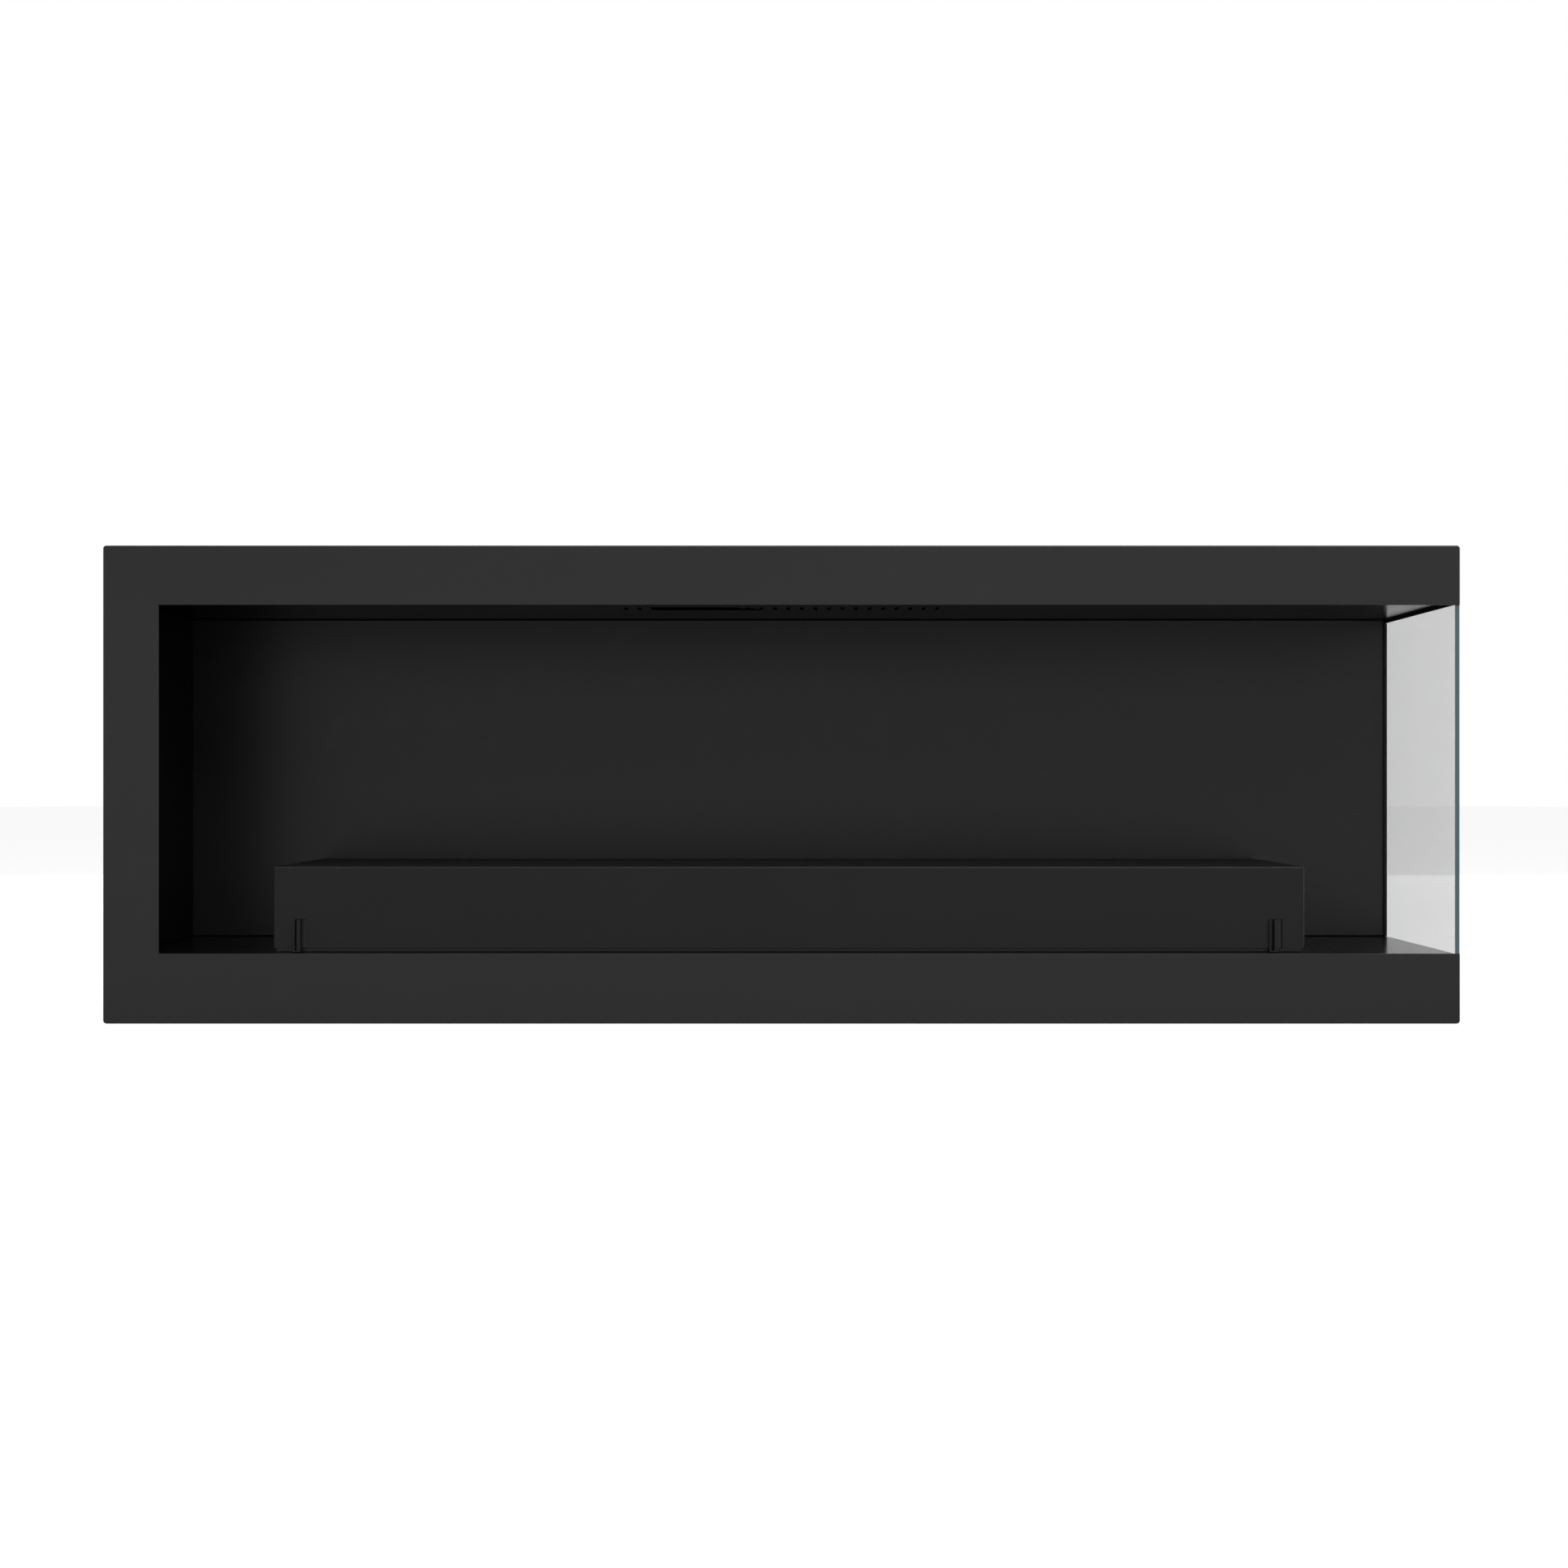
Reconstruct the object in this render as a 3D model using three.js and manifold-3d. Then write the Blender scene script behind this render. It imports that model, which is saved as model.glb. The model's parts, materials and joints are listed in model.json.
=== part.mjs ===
// Built-in electric fireplace with an open front, a clear pane on its right-hand side and a low mist-flame
// cassette on the chamber floor. Millimetres, +Z up. The origin is the centre of the bounding box's base:
// X runs to the right along the front, Y runs from the front plane (negative) back to the wall (positive).

import * as THREE from "three";
import { mergeVertices } from "three/addons/utils/BufferGeometryUtils.js";
import Module from "manifold-3d";

const wasm = await Module();
wasm.setup();

// ---------------------------------------------------------------------------------------------------------
// Driving dimensions
// ---------------------------------------------------------------------------------------------------------

const overall = { width: 1200, depth: 280, height: 423 };
const gap = 0.3; // left between pieces that touch
const running = 0.5; // left round a piece that turns or slides

// Front frame: three bands of folded sheet, open on the right
const band = { top: 52.8, bottom: 62, left: 49.5, sheet: 2, flange: 20, cornerRadius: 3 };

// Outer casing and the dark liner of the chamber
const casing = { sheet: 1.5, upstand: 15 };
const liner = { sheet: 1.2, flange: 12, ceilingRecess: 3.8, leftInset: 20, backInset: 30 };

// Side pane and the folded ledge that it stands in
const pane = { thickness: 4, grip: 12, rearGrip: 8 };
const seal = { width: 2.7, depth: 3.2 };

// Back panel: wall slots, corner screws and the mains inlet
const wallSlot = { headRadius: 6, neckRadius: 3, rise: 14, insetX: 180, height: 330 };
const crossRecess = { reach: 2, half: 0.4, depth: 0.9 };
const panelScrew = { radius: 2, headRadius: 3.8, headHeight: 1.5, length: 12, insetX: 40, insetZ: 8 };
const inlet = {
  width: 30, height: 22, depth: 24, wall: 2.5, floor: 5, flange: 5, flangeSheet: 2, insetX: 80, centreZ: 31,
};
const inletPin = { thickness: 2, height: 4.4, spacing: 7, earthRise: 3, back: 1, tip: 5 };

// Flame cassette: the loose cover and the tray under it
const cover = {
  height: 76.5, floorGap: 3.5, sheet: 1.2, rim: 8, leftRoom: 126.5, rightRoom: 129.5, frontInset: 20,
  backRoom: 5,
};
const flameSlot = { widthShare: 16 / 45, endRoom: 70 }; // its width is a share of the trough's
const tray = { clearance: 1.3, sheet: 1.2, ventWidth: 30, ventHeight: 5, ventCount: 5 };
const fin = {
  endRoom: 25, slotWidth: 10, slotHeight: 26, blade: 3.2, bladeOffset: 2.1, leg: 1.8, height: 29, reach: 6,
};
const hatch = { width: 60, depth: 36, sheet: 0.9, fingerRadius: 7 };
const hatchPin = { radius: 1, knuckleWall: 1.2, drop: 3, earWidth: 3, earOverlap: 2, rearRoom: 1.5 };

// Mist unit
const trough = { endRoom: 56.3, width: 90, height: 44, wall: 2.5 };
const collarWall = 2;
const plate = 2; // the moulded plate that closes the trough
const transducer = { radius: 18, height: 12, count: 4, endRoom: 60 };
const lightBar = { endRoom: 5, width: 7, height: 6 };
const fan = { size: 50, height: 15, holeRadius: 23.5, hubRadius: 10, blades: 7, endRoom: 9 };
const floatUnit = { stemRadius: 3, transducerRoom: 2, height: 14, headShare: 5 / 11, headHeight: 3 };

// Water supply
const tank = { length: 590, depth: 54, height: 56, wall: 2, rightRoom: 16.3, backGap: 3 };
const neck = { radius: 16, wall: 3, height: 8 };
const capSize = { radius: 20, height: 11, top: 3, ribs: 16, endRoom: 18 };
const feed = { radius: 5, bore: 3.5, collarRadius: 8, endRoom: 140, height: 9 };

// Electrical pieces in the tray
const supply = {
  length: 140, width: 48, height: 38, leftRoom: 16.3, front: 5, vents: 9, ventPitch: 10, terminals: 4,
  terminalPitch: 9,
};
const board = {
  length: 150, width: 46, sheet: 1.6, lift: 8, inset: 5, leftRoom: 15, front: 5,
  capacitor: { radius: 5, height: 16 },
  relay: { length: 18, width: 15, height: 14 },
  socket: { height: 9 },
  sink: { height: 20 },
};
const switchBox = { width: 22, depth: 30, height: 22, flange: 2, wall: 2.7, rightRoom: 36.3, front: 12 };
const switchStand = { length: 50, height: 60, sheet: 1.5, side: 6 };
const rocker = { length: 22, rise: 3.5, pivotRadius: 1.5, tilt: 8, pivotDepth: 5 };
const trayScrew = { radius: 2, headRadius: 4, headHeight: 2.4, length: 10 };

// Fan heater in the lintel
const duct = { length: 340, depth: 120, sheet: 1, frontInset: 10, topRoom: 3.3 };
const outlet = { length: 300, width: 16, inset: 5, flange: 6 };
const intake = { slots: 24, slotWidth: 3.5, slotLength: 36, start: 70 };
const element = { length: 300, depth: 22, lift: 4, topRoom: 3.7, fins: 24, rail: 4, start: 27 };
const rotor = { radius: 15, length: 290, shaft: 2.5, blades: 16, bladeWidth: 4, centreY: 80 };
const motor = { radius: 16, length: 46, bore: 12, foot: 3 };
const bearing = { radius: 6, length: 5 };
const cutout = { length: 20, height: 18, depth: 7, radius: 6 };

// ---------------------------------------------------------------------------------------------------------
// Derived places
// ---------------------------------------------------------------------------------------------------------

const right = overall.width / 2;
const left = -right;
const back = overall.depth / 2;
const front = -back;
const top = overall.height;

const openingTop = top - band.top;
const floorTop = band.bottom;
const ceilingBottom = openingTop + liner.ceilingRecess;
const chamberLeft = left + liner.leftInset;
const chamberBack = back - liner.backInset;
const behindFrame = front + band.sheet + gap;
const flangeEnd = front + band.flange;
const panelBack = back - casing.sheet - gap; // rear limit of what stands inside the back panel

const paneInner = right - pane.thickness;
const paneBottom = floorTop - pane.grip;
const paneTop = openingTop + pane.grip;
const paneBack = chamberBack + pane.rearGrip;
const screwX = right - panelScrew.insetX;
const screwZ = panelScrew.insetZ;
const inletX = left + inlet.insetX;
const linerRight = paneInner - gap - casing.sheet - gap; // the liner stops inside the pane's folded ledge
const linerLeft = left + band.sheet + gap + casing.sheet + gap; // and inside the left panel's tongue

// The cover fills the chamber up to the room left round it
const coverLength = paneInner - cover.rightRoom - (chamberLeft + cover.leftRoom);
const coverDepth = chamberBack - cover.backRoom - (front + cover.frontInset);
const cassetteX = chamberLeft + cover.leftRoom + coverLength / 2;
const cassetteY = front + cover.frontInset + coverDepth / 2;

// Places in the cassette, from the cover's centre
const coverX = coverLength / 2;
const coverY = coverDepth / 2;
const deckUnder = cover.height - cover.sheet;
const slotCentres = [-1, 1].map((hand) => hand * (coverX - fin.endRoom));
const trayX = coverX - cover.sheet - tray.clearance;
const trayY = coverY - cover.sheet - tray.clearance;
const trayFloor = gap + tray.sheet; // the inner face of the tray's bottom
const trayEnd = trayX - tray.sheet; // the inner faces of its end walls
const troughX = trayEnd - trough.endRoom;
const slotX = troughX - flameSlot.endRoom;
const slotWidth = trough.width * flameSlot.widthShare;
const fanX = troughX - fan.endRoom - fan.size / 2;
const tankX = [trayEnd - tank.rightRoom - tank.length, trayEnd - tank.rightRoom];
const tankY = [trayY - tray.sheet - tank.backGap - tank.depth, trayY - tray.sheet - tank.backGap];
const neckPlace = [tankX[1] - capSize.endRoom - capSize.radius, (tankY[0] + tankY[1]) / 2];
const hatchX = [neckPlace[0] - hatch.width / 2, neckPlace[0] + hatch.width / 2];
const hatchY = [neckPlace[1] - hatch.depth / 2, neckPlace[1] + hatch.depth / 2];
const trayScrewX = (troughX + trayEnd) / 2;

// ---------------------------------------------------------------------------------------------------------
// Solids
// ---------------------------------------------------------------------------------------------------------

// A closed three.js geometry as a manifold solid
function solid(geometry) {
  const bare = geometry.index ? geometry.toNonIndexed() : geometry.clone();
  bare.deleteAttribute("normal");
  bare.deleteAttribute("uv");
  const merged = mergeVertices(bare, 1e-4);
  return new wasm.Manifold(
    new wasm.Mesh({
      numProp: 3,
      vertProperties: new Float32Array(merged.attributes.position.array),
      triVerts: new Uint32Array(merged.index.array),
    })
  );
}

// A manifold solid as a flat-shaded geometry
function geometryOf(shape) {
  const mesh = shape.getMesh();
  const indexed = new THREE.BufferGeometry();
  const points = new Float32Array(mesh.numVert * 3);
  for (let i = 0; i < mesh.numVert; i += 1) {
    for (let k = 0; k < 3; k += 1) points[i * 3 + k] = mesh.vertProperties[i * mesh.numProp + k];
  }
  indexed.setAttribute("position", new THREE.BufferAttribute(points, 3));
  indexed.setIndex(new THREE.BufferAttribute(new Uint32Array(mesh.triVerts), 1));
  const flat = indexed.toNonIndexed();
  flat.computeVertexNormals();
  return flat;
}

const join = (first, ...others) => others.reduce((sum, next) => sum.add(next), first);
const cut = (first, ...tools) => tools.reduce((rest, tool) => rest.subtract(tool), first);

// A box between two limits on each axis, given in either order. Its corners are set, not scaled, so that
// neighbouring boxes share their faces exactly.
function block(...limits) {
  const geometry = new THREE.BoxGeometry(1, 1, 1);
  const corners = geometry.attributes.position;
  for (let i = 0; i < corners.count; i += 1) {
    limits.forEach((pair, axis) => {
      const end = corners.getComponent(i, axis) > 0 ? Math.max(...pair) : Math.min(...pair);
      corners.setComponent(i, axis, end);
    });
  }
  return solid(geometry);
}

// A round bar along one axis; the centre is given on the other two axes, in X, Y, Z order
function bar(axis, radius, span, [a, b] = [0, 0], sides = 24) {
  const length = Math.abs(span[1] - span[0]);
  const middle = (span[0] + span[1]) / 2;
  const geometry = new THREE.CylinderGeometry(radius, radius, length, sides);
  if (axis === "x") geometry.rotateZ(Math.PI / 2).translate(middle, a, b);
  if (axis === "y") geometry.translate(a, middle, b);
  if (axis === "z") geometry.rotateX(Math.PI / 2).translate(a, b, middle);
  return solid(geometry);
}

// A turned body about Z, from a profile of radius and height points that starts and ends on the axis
function turned(profile, sides = 32) {
  const points = profile.map(([radius, height]) => new THREE.Vector2(radius, height));
  return solid(new THREE.LatheGeometry(points, sides).rotateX(Math.PI / 2));
}

// A profile in the Y-Z plane drawn out along X
function drawnAlongX(profile, [from, to]) {
  const shape = new THREE.Shape(profile.map(([y, z]) => new THREE.Vector2(y, z)));
  const geometry = new THREE.ExtrudeGeometry(shape, { depth: to - from, bevelEnabled: false });
  return solid(geometry.rotateZ(Math.PI / 2).rotateY(Math.PI / 2).translate(from, 0, 0));
}

// A rectangle with rounded corners in the X-Z plane, drawn out along Y
function roundedSlab([x0, x1], [y0, y1], [z0, z1], radius) {
  const shape = new THREE.Shape();
  shape.moveTo(x0 + radius, z0);
  shape.lineTo(x1 - radius, z0);
  shape.absarc(x1 - radius, z0 + radius, radius, -Math.PI / 2, 0);
  shape.lineTo(x1, z1 - radius);
  shape.absarc(x1 - radius, z1 - radius, radius, 0, Math.PI / 2);
  shape.lineTo(x0 + radius, z1);
  shape.absarc(x0 + radius, z1 - radius, radius, Math.PI / 2, Math.PI);
  shape.lineTo(x0, z0 + radius);
  shape.absarc(x0 + radius, z0 + radius, radius, Math.PI, Math.PI * 1.5);
  const options = { depth: y1 - y0, bevelEnabled: false, curveSegments: 5 };
  const geometry = new THREE.ExtrudeGeometry(shape, options);
  return solid(geometry.rotateX(Math.PI / 2).translate(0, y1, 0));
}

const each = (count, make) => Array.from({ length: count }, (_, index) => make(index));
const spread = (count, pitch) => each(count, (index) => (index - (count - 1) / 2) * pitch);

// ---------------------------------------------------------------------------------------------------------
// Scene graph
// ---------------------------------------------------------------------------------------------------------

const finishes = {
  satinBlack: { color: 0x2f2f2e, roughness: 0.5, metalness: 0.0 },
  linerBlack: { color: 0x232423, roughness: 0.6, metalness: 0.0 },
  clearGlass: { color: 0xb9cccb, roughness: 0.05, metalness: 0.0 },
  rubberBlack: { color: 0x101010, roughness: 0.8, metalness: 0.0 },
  moulding: { color: 0x1b1c1e, roughness: 0.45, metalness: 0.0 },
  clearPlastic: { color: 0x9fb4bc, roughness: 0.2, metalness: 0.0 },
  zincSteel: { color: 0xa9abad, roughness: 0.4, metalness: 0.9 },
  brass: { color: 0xb89a52, roughness: 0.35, metalness: 0.9 },
  circuitGreen: { color: 0x1f5a36, roughness: 0.5, metalness: 0.0 },
  lightStrip: { color: 0xd8d4c8, roughness: 0.4, metalness: 0.0 },
};

const fireplace = new THREE.Group();
const shell = new THREE.Group();
const cassette = new THREE.Group();
const heater = new THREE.Group();
cassette.position.set(cassetteX, cassetteY, floorTop);
heater.position.set(0, behindFrame + duct.frontInset, ceilingBottom + liner.sheet);
fireplace.add(shell, cassette, heater);

function addPiece(parent, name, shape, finish, place = [0, 0, 0], tilt = [0, 0, 0]) {
  const mesh = new THREE.Mesh(geometryOf(shape), new THREE.MeshStandardMaterial(finishes[finish]));
  mesh.name = name;
  mesh.position.set(...place);
  mesh.rotation.set(...tilt);
  parent.add(mesh);
}

// ---------------------------------------------------------------------------------------------------------
// Front frame and outer casing
// ---------------------------------------------------------------------------------------------------------

// The folded ledge round the pane, without its glass pocket: where it starts below and ends above the pane
const ledgeZ = [paneBottom - gap - casing.sheet, paneTop + gap + casing.sheet];

function frontFrame() {
  const blank = roundedSlab([left, right], [front, flangeEnd], [0, top], band.cornerRadius);
  const hollow = block(
    [left + band.sheet, right - band.sheet],
    [front + band.sheet, back],
    [band.sheet, top - band.sheet]
  );
  const opening = block([left + band.left, right + 1], [front - 1, back], [floorTop, openingTop]);
  const paneRoom = block(
    [right - 2 * band.sheet, right + 1],
    [front + band.sheet, back],
    [ledgeZ[0] - gap, ledgeZ[1] + gap]
  );
  return cut(blank, hollow, opening, paneRoom);
}

// Bottom or top sheet: upstands at the sides and the rear, and a stepped tongue behind the front frame
function pan(isTop) {
  const up = (limits) => (isTop ? limits.map((z) => top - z) : limits);
  const side = right - casing.sheet - gap;
  const start = flangeEnd + gap;
  const step = band.sheet + gap;
  const tongue = right - band.sheet - gap;
  const blank = block([-side, side], [start, panelBack], up([0, casing.upstand]));
  const hollow = block(
    [-side + casing.sheet, side - casing.sheet],
    [front, panelBack - casing.sheet],
    up([casing.sheet, casing.upstand + 1])
  );
  const screws = [-1, 1].map((hand) =>
    bar("y", panelScrew.radius + gap, [panelBack - 5, back], [hand * screwX, isTop ? top - screwZ : screwZ])
  );
  return join(
    cut(blank, hollow, ...screws),
    block([-tongue, tongue], [behindFrame, start + casing.sheet], up([step, step + casing.sheet])),
    block([-tongue, tongue], [start, start + casing.sheet], up([0, step + casing.sheet]))
  );
}

function leftSidePanel() {
  const step = left + band.sheet + gap;
  const rear = flangeEnd + gap + casing.sheet;
  const tall = [casing.upstand + 5, top - casing.upstand - 5];
  return join(
    block([left, left + casing.sheet], [flangeEnd + gap, panelBack], [0, top]),
    block([step, step + casing.sheet], [behindFrame, rear], tall),
    block([left, step + casing.sheet], [flangeEnd + gap, rear], tall)
  );
}

// Right side: a rail below and above the pane and a rear post, folded inwards into a ledge round the glass
function rightSideFrame() {
  const outer = block([right - casing.sheet, right], [flangeEnd + gap, panelBack], [0, top]);
  const ledge = block(
    [paneInner - gap - casing.sheet, right],
    [behindFrame, paneBack + gap + casing.sheet],
    ledgeZ
  );
  const pocket = block(
    [paneInner - gap, right + 1],
    [front, paneBack + gap],
    [paneBottom - gap, paneTop + gap]
  );
  const window = block(
    [paneInner - 10, paneInner],
    [front, chamberBack + liner.sheet + gap],
    [floorTop - liner.sheet - gap, openingTop]
  );
  return cut(join(outer, cut(ledge, window)), pocket);
}

// A wall slot: a round hole for the screw's head with a narrow neck above it
function wallSlotCut(x) {
  const through = [panelBack - 1, back + 1];
  return join(
    bar("y", wallSlot.headRadius, through, [x, wallSlot.height]),
    bar("y", wallSlot.neckRadius, through, [x, wallSlot.height + wallSlot.rise]),
    block(
      [x - wallSlot.neckRadius, x + wallSlot.neckRadius],
      through,
      [wallSlot.height, wallSlot.height + wallSlot.rise]
    )
  );
}

function backPanel() {
  const sheet = block([left, right], [back - casing.sheet, back], [0, top]);
  const slots = [-1, 1].map((hand) => wallSlotCut(hand * (right - wallSlot.insetX)));
  // Each countersink widens towards the rear; its cone runs on past both faces of the sheet
  const spreadOut = panelScrew.headRadius - panelScrew.radius;
  const wide = panelScrew.headRadius + spreadOut + gap;
  const narrow = panelScrew.radius - spreadOut + gap;
  const screwHoles = panelScrewPlaces().map(([x, z]) =>
    solid(
      new THREE.CylinderGeometry(wide, narrow, 3 * casing.sheet, 24).translate(x, back - casing.sheet / 2, z)
    )
  );
  const inletHole = block(
    [inletX - inlet.width / 2 - gap, inletX + inlet.width / 2 + gap],
    [panelBack, back + 1],
    [inlet.centreZ - inlet.height / 2 - gap, inlet.centreZ + inlet.height / 2 + gap]
  );
  return cut(sheet, ...slots, ...screwHoles, inletHole);
}

function panelScrewPlaces() {
  return [-1, 1].flatMap((hand) => [screwZ, top - screwZ].map((z) => [hand * screwX, z]));
}

// Countersunk screw along Y with its head flush at the rear, and a cross recess
function countersunkScrew() {
  const { radius, headRadius, headHeight, length } = panelScrew;
  const cone = new THREE.CylinderGeometry(headRadius, radius, headHeight, 24);
  cone.translate(0, -headHeight / 2, 0);
  const { reach, half, depth } = crossRecess;
  const recess = [
    block([-reach, reach], [-depth, 1], [-half, half]),
    block([-half, half], [-depth, 1], [-reach, reach]),
  ];
  return cut(join(solid(cone), bar("y", radius, [-length, -headHeight / 2])), ...recess);
}

// Appliance inlet for a mains lead: its nose fills the panel's cut-out and its flange sits behind the panel
function mainsInlet() {
  const { width, height, depth, flange, flangeSheet, wall, floor } = inlet;
  const flangeFace = -casing.sheet - gap;
  const x = [-width / 2, width / 2];
  const z = [-height / 2, height / 2];
  const body = join(
    block(x, [-depth, -gap], z),
    block(
      [x[0] - flange, x[1] + flange],
      [flangeFace - flangeSheet, flangeFace],
      [z[0] - flange / 2, z[1] + flange / 2]
    )
  );
  const socket = block([x[0] + wall, x[1] - wall], [-depth + floor, 1], [z[0] + wall, z[1] - wall]);
  const { thickness, height: tall, spacing, earthRise, back: root, tip } = inletPin;
  const pins = [[-spacing, -root], [0, earthRise], [spacing, -root]].map(([pinX, pinZ]) =>
    block(
      [pinX - thickness / 2, pinX + thickness / 2],
      [-depth + root, -tip],
      [pinZ - tall / 2, pinZ + tall / 2]
    )
  );
  return join(cut(body, socket), ...pins);
}

addPiece(shell, "front_frame", frontFrame(), "satinBlack");
addPiece(shell, "base_pan", pan(false), "satinBlack");
addPiece(shell, "top_pan", pan(true), "satinBlack");
addPiece(shell, "left_side_panel", leftSidePanel(), "satinBlack");
addPiece(shell, "right_side_frame", rightSideFrame(), "satinBlack");
addPiece(shell, "back_panel", backPanel(), "satinBlack");
panelScrewPlaces().forEach(([x, z], index) => {
  addPiece(shell, `back_screw_${index + 1}`, countersunkScrew(), "zincSteel", [x, back, z]);
});
addPiece(shell, "mains_inlet", mainsInlet(), "moulding", [inletX, back, inlet.centreZ]);

// ---------------------------------------------------------------------------------------------------------
// Chamber liner and side pane
// ---------------------------------------------------------------------------------------------------------

const linerBack = chamberBack + liner.sheet;
const flangeBack = linerBack + liner.flange;

function chamberFloor() {
  const z = [floorTop - liner.sheet, floorTop];
  const lip = [behindFrame, behindFrame + liner.sheet];
  const sheet = join(
    block([linerLeft, paneInner - gap], [behindFrame, linerBack], z),
    block([linerLeft, linerRight], [linerBack, flangeBack], z),
    block([linerLeft + 2, linerRight - 2], lip, [floorTop - liner.flange, floorTop])
  );
  const screwHoles = [-1, 1].map((hand) =>
    bar("z", trayScrew.radius + gap, [z[0] - 1, z[1] + 1], [cassetteX + hand * trayScrewX, cassetteY])
  );
  return cut(sheet, ...screwHoles);
}

function chamberCeiling() {
  const z = [ceilingBottom, ceilingBottom + liner.sheet];
  const lip = [behindFrame, behindFrame + liner.sheet];
  const sheet = join(
    block([linerLeft, linerRight], [behindFrame, flangeBack], z),
    block([linerLeft + 2, linerRight - 2], lip, [ceilingBottom, ceilingBottom + liner.flange])
  );
  const through = [z[0] - 1, z[1] + 1];
  const outletY = heater.position.y + outlet.inset;
  const outletX = [-outlet.length / 2, outlet.length / 2];
  const outletCut = block(outletX, [outletY, outletY + outlet.width], through);
  const intakeY = heater.position.y + intake.start;
  const slots = spread(intake.slots, outlet.length / intake.slots).map((x) =>
    block(
      [x - intake.slotWidth / 2, x + intake.slotWidth / 2],
      [intakeY, intakeY + intake.slotLength],
      through
    )
  );
  return cut(sheet, outletCut, ...slots);
}

const wallZ = [floorTop + gap, ceilingBottom - gap];

function chamberBackWall() {
  const [low, high] = wallZ;
  return drawnAlongX(
    [
      [chamberBack, low],
      [flangeBack, low],
      [flangeBack, low + liner.sheet],
      [linerBack, low + liner.sheet],
      [linerBack, high - liner.sheet],
      [flangeBack, high - liner.sheet],
      [flangeBack, high],
      [chamberBack, high],
    ],
    [left + 8, linerRight]
  );
}

function chamberLeftWall() {
  const y = [behindFrame, chamberBack - gap];
  return join(
    block([chamberLeft - liner.sheet, chamberLeft], y, wallZ),
    block([chamberLeft - liner.flange, chamberLeft], y, [wallZ[0], wallZ[0] + liner.sheet]),
    block([chamberLeft - liner.flange, chamberLeft], y, [wallZ[1] - liner.sheet, wallZ[1]])
  );
}

// Bead that closes the joint between the pane and the rear wall
function paneSeal() {
  const z = [floorTop + gap, openingTop - gap];
  const inner = paneInner - gap;
  return join(
    block([inner - seal.width, inner], [chamberBack - gap - seal.depth, chamberBack - gap], z),
    block([inner - casing.sheet, inner], [chamberBack - gap - seal.depth, linerBack], z)
  );
}

addPiece(shell, "chamber_floor", chamberFloor(), "linerBlack");
addPiece(shell, "chamber_ceiling", chamberCeiling(), "linerBlack");
addPiece(shell, "chamber_back_wall", chamberBackWall(), "linerBlack");
addPiece(shell, "chamber_left_wall", chamberLeftWall(), "linerBlack");
addPiece(
  shell,
  "side_glass",
  block([paneInner, right], [behindFrame, paneBack], [paneBottom, paneTop]),
  "clearGlass"
);
addPiece(shell, "glass_seal", paneSeal(), "rubberBlack");

// ---------------------------------------------------------------------------------------------------------
// Flame cassette. Its group stands on the chamber floor, centred on the cover.
// ---------------------------------------------------------------------------------------------------------

const knuckleRadius = hatchPin.radius + gap + hatchPin.knuckleWall;
const pinY = hatchY[1] - knuckleRadius - hatchPin.rearRoom;
const pinZ = cover.height - hatchPin.drop;
const knuckleX = [hatchX[0] + hatchPin.earWidth + 2 * gap, hatchX[1] - hatchPin.earWidth - 2 * gap];

// Skirt of the loose cover: four folded walls with a narrow rim turned in at the top, and a notch at the
// front over each locating fin
function coverSkirt() {
  const { sheet, floorGap, height, rim } = cover;
  const blank = block([-coverX, coverX], [-coverY, coverY], [floorGap, height]);
  const hollow = block([-coverX + sheet, coverX - sheet], [-coverY + sheet, coverY - sheet], [0, deckUnder]);
  const open = block([-coverX + rim, coverX - rim], [-coverY + rim, coverY - rim], [0, height + 1]);
  const notches = slotCentres.map((x) =>
    block(
      [x - fin.slotWidth / 2, x + fin.slotWidth / 2],
      [-coverY - 1, -coverY + sheet + 1],
      [0, floorGap + fin.slotHeight]
    )
  );
  return cut(blank, hollow, open, ...notches);
}

// Deck of the cover, flush inside the skirt's rim, with the long flame slot and the filling hatch
function coverDeck() {
  const x = coverX - cover.rim - gap;
  const y = coverY - cover.rim - gap;
  const through = [deckUnder - 1, cover.height + 1];
  return cut(
    block([-x, x], [-y, y], [deckUnder, cover.height]),
    block([-slotX, slotX], [-slotWidth / 2, slotWidth / 2], through),
    block(hatchX, hatchY, through)
  );
}

// Bracket under the hatch: a ledge for the lid's front edge, two side strips and the ears that hold the pin
function lidBracket() {
  const { earWidth, earOverlap } = hatchPin;
  const outerX = [hatchX[0] - earOverlap, hatchX[1] + earOverlap];
  const z = [deckUnder - gap - hatch.sheet, deckUnder - gap];
  const plateOf = cut(
    block(outerX, [hatchY[0] - 3, hatchY[1] + 3], z),
    block([hatchX[0] + 0.5, hatchX[1] - 0.5], [hatchY[0] + 3, hatchY[1] + 4], [z[0] - 1, z[1] + 1])
  );
  const ears = [outerX[0], outerX[1] - earWidth - earOverlap].map((x) =>
    block([x, x + earWidth + earOverlap], [pinY - 3, hatchY[1] + 2.5], [pinZ - 3, z[1] - 0.1])
  );
  const pinHole = bar("x", hatchPin.radius + gap, [hatchX[0] - 9, hatchX[1] + 9], [pinY, pinZ], 16);
  return cut(join(plateOf, ...ears), pinHole);
}

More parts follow.
